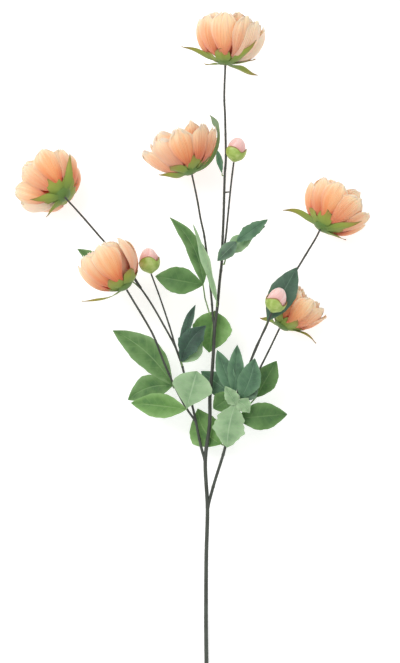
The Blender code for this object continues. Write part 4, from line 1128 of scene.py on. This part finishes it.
def stalk_line(route, number, towards, points, radius=STALK_RADIUS):
    """A leaf stalk's points and radii. Where it starts at the stem, it springs square from the bark."""
    points = metres(points)
    radius = radius / 1000
    if route:
        first_radius, last_radius, stem = STEM_ROUTES[route]
        bark = first_radius + (last_radius - first_radius) * number / (len(stem) - 1)
        ahead = (stem[min(number + 1, len(stem) - 1)] - stem[max(number - 1, 0)]).normalized()
        direction = Vector(towards)
        direction = (direction - ahead * direction.dot(ahead)).normalized()
        points = [stem[number] + direction * way for way in (bark * 0.7, bark + GAP + 0.0015)] + points
    points[-1] += (points[-1] - points[-2]).normalized() * radius
    line = []
    for low, high in zip(points, points[1:]):
        steps = max(1, round((high - low).length / ROUTE_SPACING))
        line += [low.lerp(high, k / steps) for k in range(steps)]
    line.append(points[-1])
    return line, [radius * (1.25 - 0.25 * min(1, k / 3)) for k in range(len(line))]


# %% Leaf finishes
LEAF_DYES = {
    # upper face: deep, body, edge; then the underside and the veins
    "fresh": ("#3C6430", "#53793D", "#70935A", "#7C9A6C", "#7E9E66"),
    "lush": ("#355E2A", "#476E33", "#5F8548", "#7C9A6C", "#6D8E54"),
    # painted_lit_fresh: the fresh dye painted lighter, as painted light for leaves that lie low in shade
    "painted_lit_fresh": ("#4A7636", "#618B43", "#7FA561", "#86A471", "#8CAC6C"),
    "mid": ("#375A40", "#486E50", "#5E8462", "#7F9A82", "#6F9173"),
    "deep": ("#1D382B", "#2A4838", "#3B5C49", "#6E8C74", "#4E7059"),
    "dark": ("#2B4636", "#395844", "#4C6B55", "#7F9A82", "#607F68"),
    "grey": ("#3F5844", "#506C55", "#678468", "#87A07E", "#79937A"),
    "pale": ("#6F9068", "#88A77C", "#9DB98F", "#7F9F76", "#A7C09A"),
}


def pressed_leaf(name):
    """Heat-pressed printed polyester: matt, with a fine weave and paler veins in relief."""
    deep, body, edge_dye, under, vein_dye = LEAF_DYES[name]
    mat, node, u, v, side = new_material("pressed_leaf_cloth_" + name, "along", "across", "side")
    coords = node("TexCoord", out="Object")
    span = node("ABSOLUTE", v)

    # Dye: deeper in the middle of each half, paler at the edge, in soft clouds about 15 mm wide
    cloud = node("TexNoise", {"Vector": coords, "Scale": 65.0, "Detail": 3.0})
    paler = node("MULTIPLY_ADD", node("POWER", span, 2.5), 0.55, cloud)
    dye = node("ValToRGB", paler, stops=[(0.34, deep), (0.55, body), (0.98, edge_dye)])
    face = node("Mix", {0: side, 6: under, 7: dye}, **BLEND)

    # Veins: a midrib 1 mm wide, and side veins that slant towards the tip
    slant = node("MULTIPLY_ADD", span, -VEIN_SLANT, u)
    ribs = node("ABSOLUTE", node("SINE", node("MULTIPLY", slant, 8 * math.pi)))
    ribs = node("MapRange", ribs, 0.0, 0.16, 0.28, 0.0)
    vein = node("MAXIMUM", ribs, node("MapRange", span, 0.01, 0.06, 0.6, 0.0))
    colour = node("Mix", {0: vein, 6: face, 7: vein_dye}, **BLEND)

    # Cloth: a weave with threads 0.5 mm apart, twice the real spacing so that it shows
    weave = node("TexVoronoi", {"Vector": coords, "Scale": 2000.0})
    close_material(node, colour, 0.62, (node("MULTIPLY_ADD", vein, -1.0, weave), 0.3, 0.0002), {
        "Sheen Weight": 0.15, "Subsurface Weight": 0.12, "Subsurface Radius": (0.4, 1.0, 0.3),
        "Subsurface Scale": 0.002})
    return mat


def stalk_finish():
    """Moulded green plastic: smooth, with a dull shine and a mottle about 5 mm wide."""
    mat, node = new_material("moulded_leaf_stalk")
    mottle = node("TexNoise", {"Vector": node("TexCoord", out="Object"), "Scale": 200.0, "Detail": 2.0})
    colour = node("ValToRGB", mottle, stops=[(0.35, "#55703F"), (0.5, "#6B8A4E"), (0.65, "#7E9A60")])
    close_material(node, colour, 0.5)
    return mat


# %% Make the leaves
LEAF_CLOTH = {name: pressed_leaf(name) for name in LEAF_DYES}
STALK_PLASTIC = stalk_finish()
for order, (name, (slot, dye, stalks, leaflets)) in enumerate(LEAVES.items()):
    parts = [grow(name, thick_lines("stalks", [stalk_line(*stalk) for stalk in stalks]), TUBES, {
        "Sides": 10, "Skin relief": 0.0, "Relief size": 100.0, "Finish": STALK_PLASTIC})]
    for k, (tip, width, widest, arch, sweep, roll, fold, *rest) in enumerate(leaflets):
        own = {"base": stalks[-1][3][-1], "dye": dye, "ragged": 1.0} | (rest[0] if rest else {})
        base, tip = metres([own["base"], tip])
        blade = leaf_blade(order * 10 + k, base, tip, width / 1000, widest, arch / 1000, sweep / 1000,
                           roll, fold, own["ragged"])
        parts.append(blades_mesh("blade", [blade], LEAF_CLOTH[own["dye"]]))
    finished(name + "_pressed", joined(parts), name)
print("leaves:", len(LEAVES))
